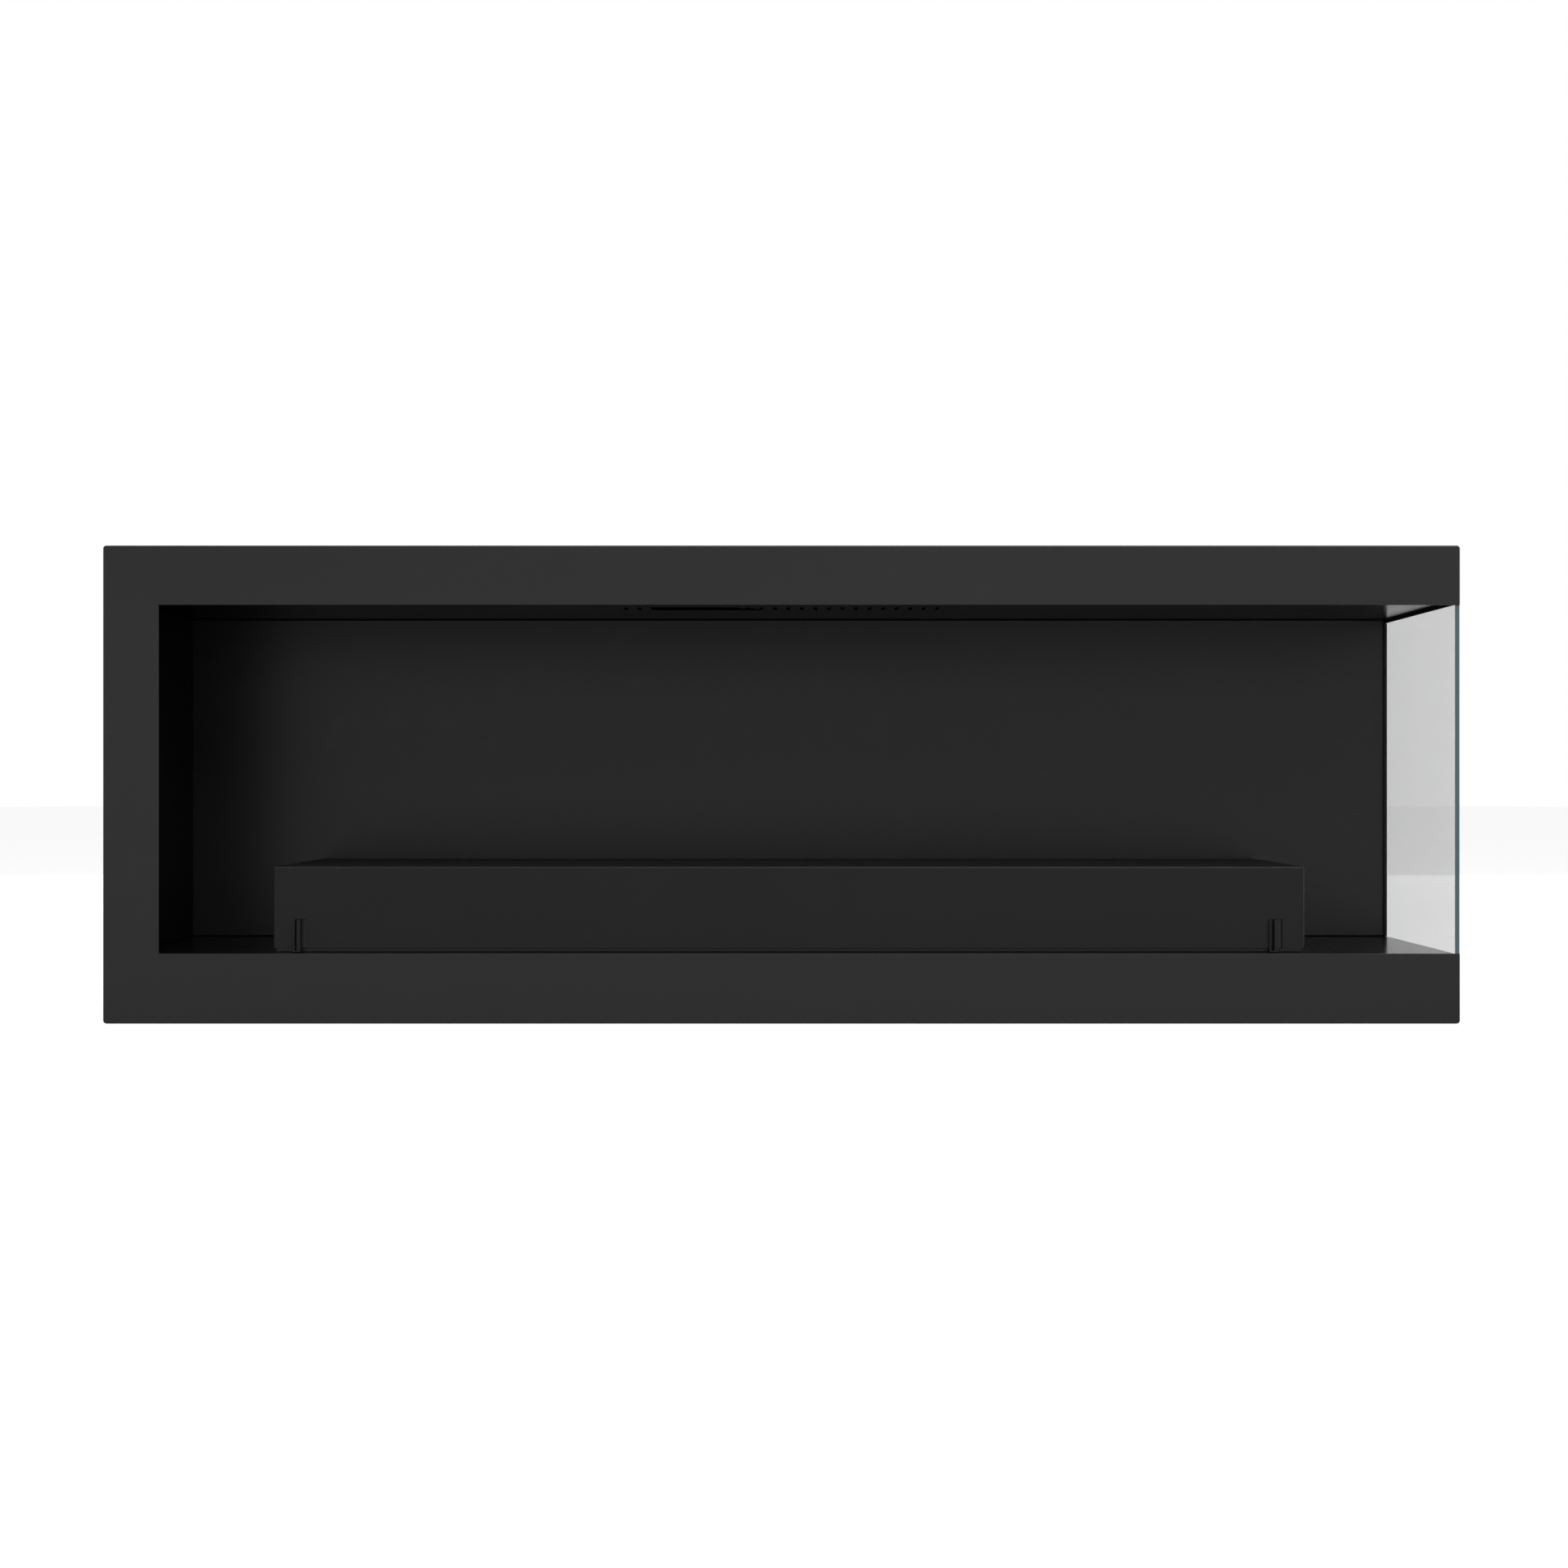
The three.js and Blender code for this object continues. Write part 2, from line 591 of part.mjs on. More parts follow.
// Lid of the filling hatch: a thin plate with a finger hole and a knuckle round the pin. The plate is
// narrower beside the ears, which it swings between.
function fillLid() {
  const knuckle = bar("x", knuckleRadius, knuckleX, [pinY, pinZ], 20);
  const lidZ = [cover.height - hatch.sheet, cover.height];
  const sheet = join(
    block([hatchX[0] + 1, hatchX[1] - 1], [hatchY[0] + 1, pinY - 4.5], lidZ),
    block(knuckleX, [pinY - 5, pinY], lidZ)
  );
  const finger = bar("z", hatch.fingerRadius, [deckUnder, cover.height + 1], [neckPlace[0], hatchY[0] + 11]);
  const bore = bar("x", hatchPin.radius + gap, [hatchX[0], hatchX[1]], [pinY, pinZ], 16);
  return cut(join(knuckle, cut(sheet, finger)), bore);
}

// Locating fin: a blade that the cover's notch drops over, with a leg in front of the skirt beside it
function locatingFin(centre) {
  const bladeX = centre - fin.slotWidth / 2 + fin.bladeOffset;
  const legX = centre - fin.slotWidth / 2 - fin.leg;
  const trayFront = -coverY + cover.sheet + tray.clearance;
  const height = [gap, fin.height];
  const face = -coverY - gap;
  return join(
    block([bladeX, bladeX + fin.blade], [-coverY - fin.reach, trayFront - gap], height),
    block([legX, legX + fin.leg], [face - fin.reach / 2, face], height),
    block([legX, bladeX + fin.blade], [-coverY - fin.reach, -coverY + cover.sheet], [gap, gap + liner.sheet])
  );
}

function cassetteTray() {
  const blank = block([-trayX, trayX], [-trayY, trayY], [gap, deckUnder - gap]);
  const hollow = block(
    [-trayX + tray.sheet, trayX - tray.sheet],
    [-trayY + tray.sheet, trayY - tray.sheet],
    [trayFloor, cover.height]
  );
  const vents = spread(tray.ventCount, tray.ventHeight * 2).map((rise) =>
    block(
      [-trayX - 1, trayX + 1],
      [-tray.ventWidth / 2 - 60, tray.ventWidth / 2 - 60],
      [deckUnder / 2 + rise, deckUnder / 2 + rise + tray.ventHeight]
    )
  );
  const screwHoles = [-1, 1].map((hand) =>
    bar("z", trayScrew.radius + gap, [0, trayFloor + 1], [hand * trayScrewX, 0])
  );
  return cut(blank, hollow, ...vents, ...screwHoles);
}

// Pan-head screw along Z that holds the tray to the chamber floor
function panHeadScrew() {
  const { radius, headRadius, headHeight, length } = trayScrew;
  const head = turned([
    [0, 0],
    [headRadius, 0],
    [headRadius, headHeight * 0.5],
    [headRadius * 0.6, headHeight],
    [0, headHeight],
  ], 24);
  const slot = block([-headRadius, headRadius], [-0.5, 0.5], [headHeight - 1, headHeight + 1]);
  return cut(join(head, bar("z", radius, [-length, 0.1])), slot);
}

addPiece(cassette, "cover_skirt", coverSkirt(), "satinBlack");
addPiece(cassette, "cover_deck", coverDeck(), "satinBlack");
addPiece(cassette, "lid_bracket", lidBracket(), "zincSteel");
addPiece(cassette, "fill_lid", fillLid(), "satinBlack");
addPiece(
  cassette,
  "fill_lid_pin",
  bar(
    "x",
    hatchPin.radius,
    [hatchX[0] - hatchPin.earOverlap, hatchX[1] + hatchPin.earOverlap],
    [pinY, pinZ],
    16
  ),
  "zincSteel"
);
["left", "right"].forEach((hand, index) => {
  addPiece(cassette, `locating_fin_${hand}`, locatingFin(slotCentres[index]), "satinBlack");
});
addPiece(cassette, "cassette_tray", cassetteTray(), "satinBlack");
[-1, 1].forEach((hand, index) => {
  const place = [hand * trayScrewX, 0, trayFloor + gap];
  addPiece(cassette, `tray_screw_${index + 1}`, panHeadScrew(), "zincSteel", place);
});

// Mist unit -----------------------------------------------------------------------------------------------

const base = trayFloor + gap; // what stands in the tray starts here
const troughTop = base + trough.height;
const plateZ = [troughTop + gap, troughTop + gap + plate];
const onPlate = plateZ[1] + gap;
const feedZ = base + feed.height;
const troughHalf = trough.width / 2 - trough.wall; // from the trough's middle to its inner faces
const ringRoom = troughHalf - running - transducer.radius - floatUnit.transducerRoom;
const ringRadius = ringRoom / 2; // the float fills the width between the front wall and the transducers
const floatY = -(troughHalf - running - ringRadius);
const feedX = tankX[1] - feed.endRoom;

function mistTrough() {
  const { width, wall } = trough;
  const blank = block([-troughX, troughX], [-width / 2, width / 2], [base, troughTop]);
  const hollow = block(
    [-troughX + wall, troughX - wall],
    [-width / 2 + wall, width / 2 - wall],
    [base + wall, troughTop + 1]
  );
  const feedHole = bar("y", feed.radius + gap, [0, width], [feedX, feedZ], 20);
  return cut(blank, hollow, feedHole);
}

// Flat plate over the trough, with the flame slot, two fan holes and the float's hole
function troughPlate() {
  const slotY = slotWidth / 2;
  const sheet = block([-troughX, troughX], [-trough.width / 2, trough.width / 2], plateZ);
  const slot = block([-slotX, slotX], [-slotY, slotY], [plateZ[0] - 1, plateZ[1] + 1]);
  const fanHoles = [-1, 1].map((hand) =>
    bar("z", fan.holeRadius - 2, [plateZ[0] - 1, plateZ[1] + 1], [hand * fanX, 0], 32)
  );
  const floatHole = bar("z", floatUnit.stemRadius + gap, [plateZ[0] - 1, plateZ[1] + 1], [0, floatY], 20);
  return cut(sheet, slot, ...fanHoles, floatHole);
}

// Chimney collar that leads the mist from the plate's slot to the one in the deck
function slotCollar() {
  const slotY = slotWidth / 2;
  return cut(
    block(
      [-slotX - collarWall, slotX + collarWall],
      [-slotY - collarWall, slotY + collarWall],
      [onPlate, deckUnder - gap]
    ),
    block([-slotX, slotX], [-slotY, slotY], [plateZ[0], cover.height])
  );
}

// Ultrasonic transducer: a puck with a raised rim round its recessed ceramic disc
function transducerPuck() {
  const { radius, height } = transducer;
  return turned([
    [0, 0],
    [radius, 0],
    [radius, height * 0.75],
    [radius - 3, height],
    [radius - 6, height],
    [radius - 8, height * 0.6],
    [0, height * 0.6],
  ]);
}

// Light bar: an aluminium rail whose bevelled top holds the lens
function lightRail() {
  const { width, height, endRoom } = lightBar;
  const half = width / 2;
  return drawnAlongX(
    [
      [-half, 0], [half, 0], [half, height * 0.6],
      [half * 0.5, height], [-half * 0.5, height], [-half, height * 0.6],
    ],
    [-slotX + endRoom, slotX - endRoom]
  );
}

function fanFrame() {
  const { size, height, holeRadius, hubRadius } = fan;
  const half = size / 2;
  const body = roundedSlab([-half, half], [-height, 0], [-half, half], 4).rotate([-90, 0, 0]);
  const throat = bar("z", holeRadius, [-1, height + 1], [0, 0], 32);
  const struts = each(3, (index) =>
    block([0, holeRadius + 1], [-1.5, 1.5], [0, 2]).rotate([0, 0, 120 * index + 30])
  );
  return join(cut(body, throat), bar("z", hubRadius, [0, 3]), ...struts);
}

function fanRotor() {
  const tip = fan.holeRadius - 1;
  const hub = bar("z", fan.hubRadius - 0.5, [0, 11]);
  const blades = each(fan.blades, (index) =>
    block([fan.hubRadius - 2, tip - 0.5], [-4.5, 4.5], [-0.6, 0.6])
      .rotate([38, 0, 0])
      .translate([0, 0, 5.5])
      .rotate([0, 0, (360 / fan.blades) * index])
  );
  return join(hub, ...blades);
}

function floatStem() {
  const { stemRadius, headShare, headHeight } = floatUnit;
  const headRadius = ringRadius * headShare;
  const foot = base + trough.wall + gap;
  return join(
    bar("z", stemRadius, [foot, onPlate + 0.1], [0, 0], 20),
    bar("z", headRadius, [onPlate, onPlate + headHeight], [0, 0], 20),
    bar("z", ringRadius * 0.6, [foot, foot + 2], [0, 0], 20)
  );
}

function floatRing() {
  const { stemRadius, height } = floatUnit;
  const start = base + trough.wall + gap + 2 + gap;
  const chamfer = 2;
  const body = turned([
    [0, start],
    [ringRadius - chamfer, start],
    [ringRadius, start + chamfer],
    [ringRadius, start + height - chamfer],
    [ringRadius - chamfer, start + height],
    [0, start + height],
  ], 24);
  return cut(body, bar("z", stemRadius + running, [start - 1, start + height + 1], [0, 0], 20));
}

const transducerPitch = (2 * (slotX - transducer.endRoom)) / (transducer.count - 1);

addPiece(cassette, "mist_trough", mistTrough(), "moulding");
addPiece(cassette, "trough_plate", troughPlate(), "moulding");
addPiece(cassette, "slot_collar", slotCollar(), "moulding");
spread(transducer.count, transducerPitch).forEach((x, index) => {
  addPiece(cassette, `transducer_${index + 1}`, transducerPuck(), "brass", [x, 0, base + trough.wall + gap]);
});
[["front", -1], ["rear", 1]].forEach(([name, hand]) => {
  const y = hand * (slotWidth / 2 + collarWall + gap + lightBar.width / 2);
  addPiece(cassette, `light_bar_${name}`, lightRail(), "lightStrip", [0, y, onPlate]);
});
[["left", -1], ["right", 1]].forEach(([name, hand]) => {
  addPiece(cassette, `mist_fan_frame_${name}`, fanFrame(), "moulding", [hand * fanX, 0, onPlate]);
  addPiece(cassette, `mist_fan_rotor_${name}`, fanRotor(), "moulding", [hand * fanX, 0, onPlate + 3 + gap]);
});
addPiece(cassette, "float_stem", floatStem(), "clearPlastic", [0, floatY, 0]);
addPiece(cassette, "float_ring", floatRing(), "lightStrip", [0, floatY, 0]);

// Water supply --------------------------------------------------------------------------------------------

const tankTop = base + tank.height;

function waterTank() {
  const { wall } = tank;
  const blank = block(tankX, tankY, [base, tankTop]);
  const hollow = block(
    [tankX[0] + wall, tankX[1] - wall],
    [tankY[0] + wall, tankY[1] - wall],
    [base + wall, tankTop - wall]
  );
  const spout = bar("z", neck.radius, [tankTop - wall, tankTop + neck.height], neckPlace, 32);
  const boreZ = [tankTop - wall - 1, tankTop + neck.height + 1];
  const bore = bar("z", neck.radius - neck.wall, boreZ, neckPlace, 32);
  const feedHole = bar("y", feed.radius + gap, [tankY[0] - 1, tankY[0] + wall + 1], [feedX, feedZ], 20);
  return cut(join(cut(blank, hollow), spout), bore, feedHole);
}

// Quarter-turn cap with grip ribs, over the tank's neck
function tankCap() {
  const { radius, height, top: roof, ribs } = capSize;
  const cup = cut(
    bar("z", radius, [0, height], [0, 0], 32),
    bar("z", neck.radius + running, [-1, height - roof], [0, 0], 32)
  );
  const grips = each(ribs, (index) =>
    block([radius - 0.5, radius + 1], [-1, 1], [0, height - 1]).rotate([0, 0, (360 / ribs) * index])
  );
  const bridge = block([-radius + 3, radius - 3], [-1.5, 1.5], [height - 1, height + 1]);
  return join(cup, ...grips, bridge);
}

function feedPipe() {
  const span = [trough.width / 2 - trough.wall - 1, tankY[0] + tank.wall + 1];
  const collar = [trough.width / 2 + gap, tankY[0] - gap];
  const outside = join(
    bar("y", feed.radius, span, [feedX, feedZ], 20),
    bar("y", feed.collarRadius, collar, [feedX, feedZ], 20)
  );
  return cut(outside, bar("y", feed.bore, [span[0] - 1, span[1] + 1], [feedX, feedZ], 20));
}

addPiece(cassette, "water_tank", waterTank(), "clearPlastic");
addPiece(cassette, "tank_cap", tankCap(), "moulding", [...neckPlace, tankTop + gap]);
addPiece(cassette, "feed_pipe", feedPipe(), "clearPlastic");

// Electrical pieces ---------------------------------------------------------------------------------------

const frontShelf = -trayY + tray.sheet;

// Power supply: a sheet can with a row of vents in its lid and four terminal openings at its right-hand end
function powerSupply() {
  const { length, width, height, vents, ventPitch, terminals, terminalPitch } = supply;
  const can = block([0, length], [0, width], [0, height]);
  const lidVents = each(vents, (index) =>
    block([(index + 2) * ventPitch, (index + 2.4) * ventPitch], [8, width - 8], [height - 1.5, height + 1])
  );
  const openings = each(terminals, (index) =>
    block([length - 12, length + 1], [6 + index * terminalPitch, 13 + index * terminalPitch], [8, 18])
  );
  return cut(can, ...lidVents, ...openings);
}

// Control board on four legs, with its capacitors, relays, sockets and finned heat sink in one solid
function controlBoard() {
  const { length, width, sheet, lift, inset, capacitor, relay, socket, sink } = board;
  const surface = lift + sheet;
  const legPlaces = [inset, length - inset].flatMap((x) => [[x, inset], [x, width - inset]]);
  const legs = legPlaces.map((at) => bar("z", 3, [0, lift + 0.1], at, 12));
  const capacitors = each(2, (index) =>
    bar("z", capacitor.radius, [lift, surface + capacitor.height], [30 + 14 * index, 14], 20)
  );
  const relays = each(2, (index) =>
    block(
      [70 + 22 * index, 70 + 22 * index + relay.length],
      [8, 8 + relay.width],
      [lift, surface + relay.height]
    )
  );
  const sockets = each(4, (index) =>
    block([18 + index * 28, 36 + index * 28], [33, 41], [lift, surface + socket.height])
  );
  const sinkZ = [lift, surface + sink.height];
  const fins = each(4, (index) => block([119 + index * 6, 121 + index * 6], [8, 22], sinkZ));
  const parts = [...legs, ...capacitors, ...relays, ...sockets, block([118, 142], [8, 10], sinkZ), ...fins];
  return join(block([0, length], [0, width], [lift, surface]), ...parts);
}

// Inverted U of sheet that carries the mains switch at a finger's reach below the deck
function standForSwitch() {
  const { length, height, sheet, side } = switchStand;
  const depth = switchBox.depth + 2 * side;
  const body = cut(
    block([-length / 2, length / 2], [-depth / 2, depth / 2], [0, height]),
    block([-length / 2 + sheet, length / 2 - sheet], [-depth, depth], [-1, height - sheet])
  );
  const hole = block(
    [-switchBox.width / 2 - gap, switchBox.width / 2 + gap],
    [-switchBox.depth / 2 - gap, switchBox.depth / 2 + gap],
    [height - sheet - 1, height + 1]
  );
  return cut(body, hole);
}

// Switch body: its flange rests on the stand, and the rocker turns in its well. Its zero is the stand's top.
function switchBody() {
  const { width, depth, height, flange, wall } = switchBox;
  const crown = gap + flange;
  const body = join(
    block([-width / 2, width / 2], [-depth / 2, depth / 2], [crown - height, crown]),
    block([-width / 2 - 2, width / 2 + 2], [-depth / 2 - 2, depth / 2 + 2], [gap, crown])
  );
  const well = block(
    [-width / 2 + wall, width / 2 - wall],
    [-rocker.length / 2 - 1.5, rocker.length / 2 + 1.5],
    [crown - 12, crown + 1]
  );
  const pivotSpan = [-width / 2 + 1, width / 2 - 1];
  const pivot = bar("x", rocker.pivotRadius + gap, pivotSpan, [0, -rocker.pivotDepth], 16);
  return cut(body, well, pivot);
}

// Rocker about its own pivot along X
function rockerPaddle() {
  const half = rocker.length / 2;
  const halfWidth = switchBox.width / 2 - switchBox.wall - gap;
  const paddle = drawnAlongX(
    [[-half, -2], [half, -2], [half, 8], [0, 8 - rocker.rise], [-half, 8]],
    [-halfWidth, halfWidth]
  );
  const trunnion = switchBox.width / 2 - 1 - gap;
  return join(paddle, bar("x", rocker.pivotRadius, [-trunnion, trunnion], [0, 0], 16));
}

const standY = frontShelf + switchBox.front + switchBox.depth / 2 + switchStand.side;
const standTop = base + switchStand.height;
const standX = trayEnd - switchBox.rightRoom;
const supplyX = -trayEnd + supply.leftRoom;
const boardX = supplyX + supply.length + board.leftRoom;

addPiece(cassette, "power_supply", powerSupply(), "zincSteel", [supplyX, frontShelf + supply.front, base]);
addPiece(cassette, "control_board", controlBoard(), "circuitGreen", [boardX, frontShelf + board.front, base]);
addPiece(cassette, "switch_stand", standForSwitch(), "zincSteel", [standX, standY, base]);
addPiece(cassette, "switch_body", switchBody(), "moulding", [standX, standY, standTop]);
addPiece(
  cassette,
  "switch_rocker",
  rockerPaddle(),
  "moulding",
  [standX, standY, standTop - rocker.pivotDepth],
  [THREE.MathUtils.degToRad(-rocker.tilt), 0, 0]
);

// ---------------------------------------------------------------------------------------------------------
// Fan heater in the lintel. Its group stands on the ceiling sheet, just behind the front frame.
// ---------------------------------------------------------------------------------------------------------

const ductX = duct.length / 2;
const ductZ = [gap, top - casing.sheet - duct.topRoom - (ceilingBottom + liner.sheet)];
const rotorZ = (ductZ[0] + ductZ[1]) / 2;

function heaterDuct() {
  const { sheet, depth } = duct;
  const blank = block([-ductX, ductX], [0, depth], ductZ);
  const hollow = block([-ductX + sheet, ductX - sheet], [sheet, depth - sheet], [-1, ductZ[1] - sheet]);
  const tongueY = rotor.centreY - rotor.radius - 8;
  const tongueX = ductX - sheet / 2;
  const tongue = block([-tongueX, tongueX], [tongueY, tongueY + sheet], [gap + sheet, rotorZ - 6]);
  const shaftHole = bar("x", rotor.shaft + running, [-ductX - 1, ductX + 1], [rotor.centreY, rotorZ], 16);
  return cut(join(cut(blank, hollow), tongue), shaftHole);
}

const elementHeight = ductZ[1] - duct.sheet - element.topRoom - (gap + element.lift);

// Finned heating element: upper and lower rails with upright fins between them
function heatingElement() {
  const { length, depth, fins, rail } = element;
  const height = elementHeight;
  const pitch = length / fins;
  const body = block([-length / 2, length / 2], [0, depth], [0, height]);
  const passages = spread(fins, pitch).map((x) =>
    block([x - pitch / 2 + 1, x + pitch / 2 - 1], [-1, depth + 1], [rail, height - rail])
  );
  return cut(body, ...passages);
}

// Cross-flow rotor: end discs, a middle disc, curved ring of blades and the through shaft
function crossFlowRotor() {
  const { radius, length, shaft, blades, bladeWidth } = rotor;
  const discs = [-length / 2, -1, length / 2 - 2].map((x) => bar("x", radius, [x, x + 2], [0, 0], 24));
  const vanes = each(blades, (index) =>
    block([-length / 2, length / 2], [-bladeWidth / 2, bladeWidth / 2], [-0.5, 0.5])
      .rotate([35, 0, 0])
      .translate([0, radius - bladeWidth / 2 - 0.5, 0])
      .rotate([(360 / blades) * index, 0, 0])
  );
  const spindle = bar("x", shaft, [-ductX - bearing.length, ductX + motor.foot + motor.bore - 2], [0, 0], 16);
  return join(spindle, ...discs, ...vanes);
}

function heaterMotor() {
  const start = ductX + motor.foot;
  const can = join(
    bar("x", motor.radius, [start, start + motor.length], [0, 0], 28),
    bar("x", motor.radius * 0.5, [ductX + gap, start + 0.1], [0, 0], 20),
    block(
      [start + 6, start + motor.length - 6],
      [-motor.radius - 2, motor.radius + 2],
      [-rotorZ + gap, -rotorZ + 2]
    ),
    block([start + 10, start + motor.length - 10], [-6, 6], [-rotorZ + gap, 0])
  );
  return cut(can, bar("x", rotor.shaft + running, [ductX, start + motor.bore], [0, 0], 16));
}

function shaftBearing() {
  const span = [-ductX - gap - bearing.length, -ductX - gap];
  return cut(
    bar("x", bearing.radius, span, [0, 0], 20),
    bar("x", rotor.shaft + running, [span[0] + 1 - bearing.length, span[1] + 1], [0, 0], 16)
  );
}

// Thermal cut-out on the duct's left end, level with the element
function thermalCutout() {
  const { length, height, depth, radius } = cutout;
  return join(
    block([-depth / 2, 0], [-length / 2, length / 2], [-height / 2, height / 2]),
    bar("x", radius, [-depth, 0], [0, 0], 20)
  );
}

// Outlet grille: a flat frame under the ceiling with upright louvres standing in the outlet
function outletGrille() {
  const { length, width, flange } = outlet;
  const louvres = 12;
  const face = -liner.sheet - gap; // the underside of the ceiling sheet, less the gap
  const sheet = cut(
    block([-length / 2 - flange, length / 2 + flange], [-flange + 1, width + flange], [face - 1, face]),
    block([-length / 2 + 1, length / 2 - 1], [1, width - 1], [-5, 5])
  );
  const bars = spread(louvres, length / louvres).map((x) =>
    block([x - 0.6, x + 0.6], [0.5, width - 0.5], [face - 0.9, 0])
  );
  const rails = [4.8, 9.9].map((y) =>
    block([-length / 2 + 0.5, length / 2 - 0.5], [y, y + 1.2], [face - 0.8, face + gap])
  );
  return join(sheet, ...bars, ...rails);
}

addPiece(heater, "heater_duct", heaterDuct(), "zincSteel");
addPiece(heater, "heating_element", heatingElement(), "lightStrip", [0, element.start, gap + element.lift]);
addPiece(heater, "heater_rotor", crossFlowRotor(), "moulding", [0, rotor.centreY, rotorZ]);
addPiece(heater, "heater_motor", heaterMotor(), "zincSteel", [0, rotor.centreY, rotorZ]);
addPiece(heater, "shaft_bearing", shaftBearing(), "brass", [0, rotor.centreY, rotorZ]);
addPiece(heater, "thermal_cutout", thermalCutout(), "moulding", [-ductX - gap, element.start + 10, rotorZ]);
addPiece(heater, "outlet_grille", outletGrille(), "linerBlack", [0, outlet.inset, 0]);

export default fireplace;
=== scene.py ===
"""Looks of a built-in electric fireplace: folded black sheet, a clear side pane and a mist cassette."""

import json
import math
import random

import bmesh
import bpy
from bpy.props import FloatProperty, FloatVectorProperty, IntProperty, PointerProperty
from mathutils import Matrix, Vector

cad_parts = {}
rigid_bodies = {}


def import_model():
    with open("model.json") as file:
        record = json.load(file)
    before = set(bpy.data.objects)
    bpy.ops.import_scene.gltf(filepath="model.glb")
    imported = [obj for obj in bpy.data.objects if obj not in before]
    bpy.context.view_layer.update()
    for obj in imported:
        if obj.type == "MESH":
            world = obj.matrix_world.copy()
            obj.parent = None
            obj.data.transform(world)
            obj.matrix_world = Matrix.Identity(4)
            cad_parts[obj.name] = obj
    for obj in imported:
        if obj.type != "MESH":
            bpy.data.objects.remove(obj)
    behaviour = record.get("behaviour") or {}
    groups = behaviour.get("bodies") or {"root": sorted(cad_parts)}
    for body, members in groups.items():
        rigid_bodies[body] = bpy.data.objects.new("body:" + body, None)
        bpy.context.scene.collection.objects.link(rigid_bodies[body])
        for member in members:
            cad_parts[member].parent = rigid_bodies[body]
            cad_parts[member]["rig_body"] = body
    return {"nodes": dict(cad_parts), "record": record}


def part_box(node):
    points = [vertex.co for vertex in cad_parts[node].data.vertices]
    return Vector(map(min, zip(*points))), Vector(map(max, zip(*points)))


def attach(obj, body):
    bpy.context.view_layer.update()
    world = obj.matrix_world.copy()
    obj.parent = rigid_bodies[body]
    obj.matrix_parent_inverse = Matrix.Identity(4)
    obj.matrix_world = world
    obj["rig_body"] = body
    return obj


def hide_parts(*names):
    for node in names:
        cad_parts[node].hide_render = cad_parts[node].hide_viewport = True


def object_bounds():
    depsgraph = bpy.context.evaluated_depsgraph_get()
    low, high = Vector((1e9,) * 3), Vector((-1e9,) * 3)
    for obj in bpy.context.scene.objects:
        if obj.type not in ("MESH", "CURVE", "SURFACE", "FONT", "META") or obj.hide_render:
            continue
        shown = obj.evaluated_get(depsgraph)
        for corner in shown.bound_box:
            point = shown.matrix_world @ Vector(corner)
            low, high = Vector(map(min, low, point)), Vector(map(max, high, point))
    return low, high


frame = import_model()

bl_info = {
    "name": "Electric Fireplace",
    "version": (1, 0, 0),
    "blender": (4, 5, 0),
    "location": "3D View > Sidebar > Fireplace",
    "description": "Builds the visible pieces and finishes of a built-in electric fireplace on its frame",
    "category": "Object",
}

CAD_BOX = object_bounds()
MM = 0.001
FULL_TURN = 2 * math.pi
WHITE = (1.0, 1.0, 1.0)

# How far edges are broken
LAID = 0.1 * MM
THIN = 0.15 * MM
CUT = 0.2 * MM
MOULDED = 0.3 * MM
GROUND = 0.35 * MM
SOFT = 0.4 * MM
ROUND = 0.5 * MM
MADE = 0.0  # the shape already has its own small chamfers


# -------------------------------------------------------------------------------------------------
# Settings
# -------------------------------------------------------------------------------------------------


def colour(name, description, default):
    return FloatVectorProperty(
        name=name, description=description, subtype="COLOR", size=3, min=0.0, max=1.0, default=default
    )


def length(name, description, default):
    return FloatProperty(
        name=name, description=description, default=default, min=0.0, unit="LENGTH", subtype="DISTANCE"
    )


class FireplaceSheet(bpy.types.PropertyGroup):
    """Folds, edges and coatings of the sheet metal."""

    coat: colour("Coat", "Satin powder coat of the frame, casing and cover", (0.0085, 0.0085, 0.0085))
    liner: colour("Liner", "Darker, flatter coat of the chamber", (0.0030, 0.0030, 0.0030))
    frame_fold: length("Frame fold", "Outer radius of the front frame's folds", 1.6 * MM)
    cover_fold: length("Cover fold", "Outer radius of the cover's top folds", 1.8 * MM)
    liner_fold: length("Liner fold", "Outer radius of the liner's folds", 1.0 * MM)
    edge: length("Edge", "How far the cut edges are broken", 0.25 * MM)
    peel: FloatProperty(
        name="Orange peel",
        description="Height of the coat's fine ripple, in millimetres",
        default=0.030,
        min=0.0,
    )


class FireplaceFinishes(bpy.types.PropertyGroup):
    """Colours of the pane, the mouldings and the pieces inside."""

    pane: colour("Pane", "Clear float glass", (0.985, 0.995, 0.990))
    pane_edge: colour("Pane edge", "Greenish edge of the float glass", (0.020, 0.075, 0.090))
    moulding: colour("Moulding", "Black moulded plastic", (0.020, 0.021, 0.023))
    tank: colour("Tank", "Smoke-tinted clear plastic of the water tank", (0.62, 0.70, 0.74))
    zinc: colour("Zinc", "Zinc-plated sheet steel", (0.55, 0.56, 0.57))
    brass: colour("Brass", "Satin brass", (0.60, 0.43, 0.17))
    board: colour("Board", "Solder mask of the circuit board", (0.012, 0.085, 0.038))
    ceramic: colour("Ceramic", "Pale ceramic and white plastic", (0.70, 0.68, 0.62))
    rubber: colour("Rubber", "Black rubber", (0.012, 0.012, 0.012))


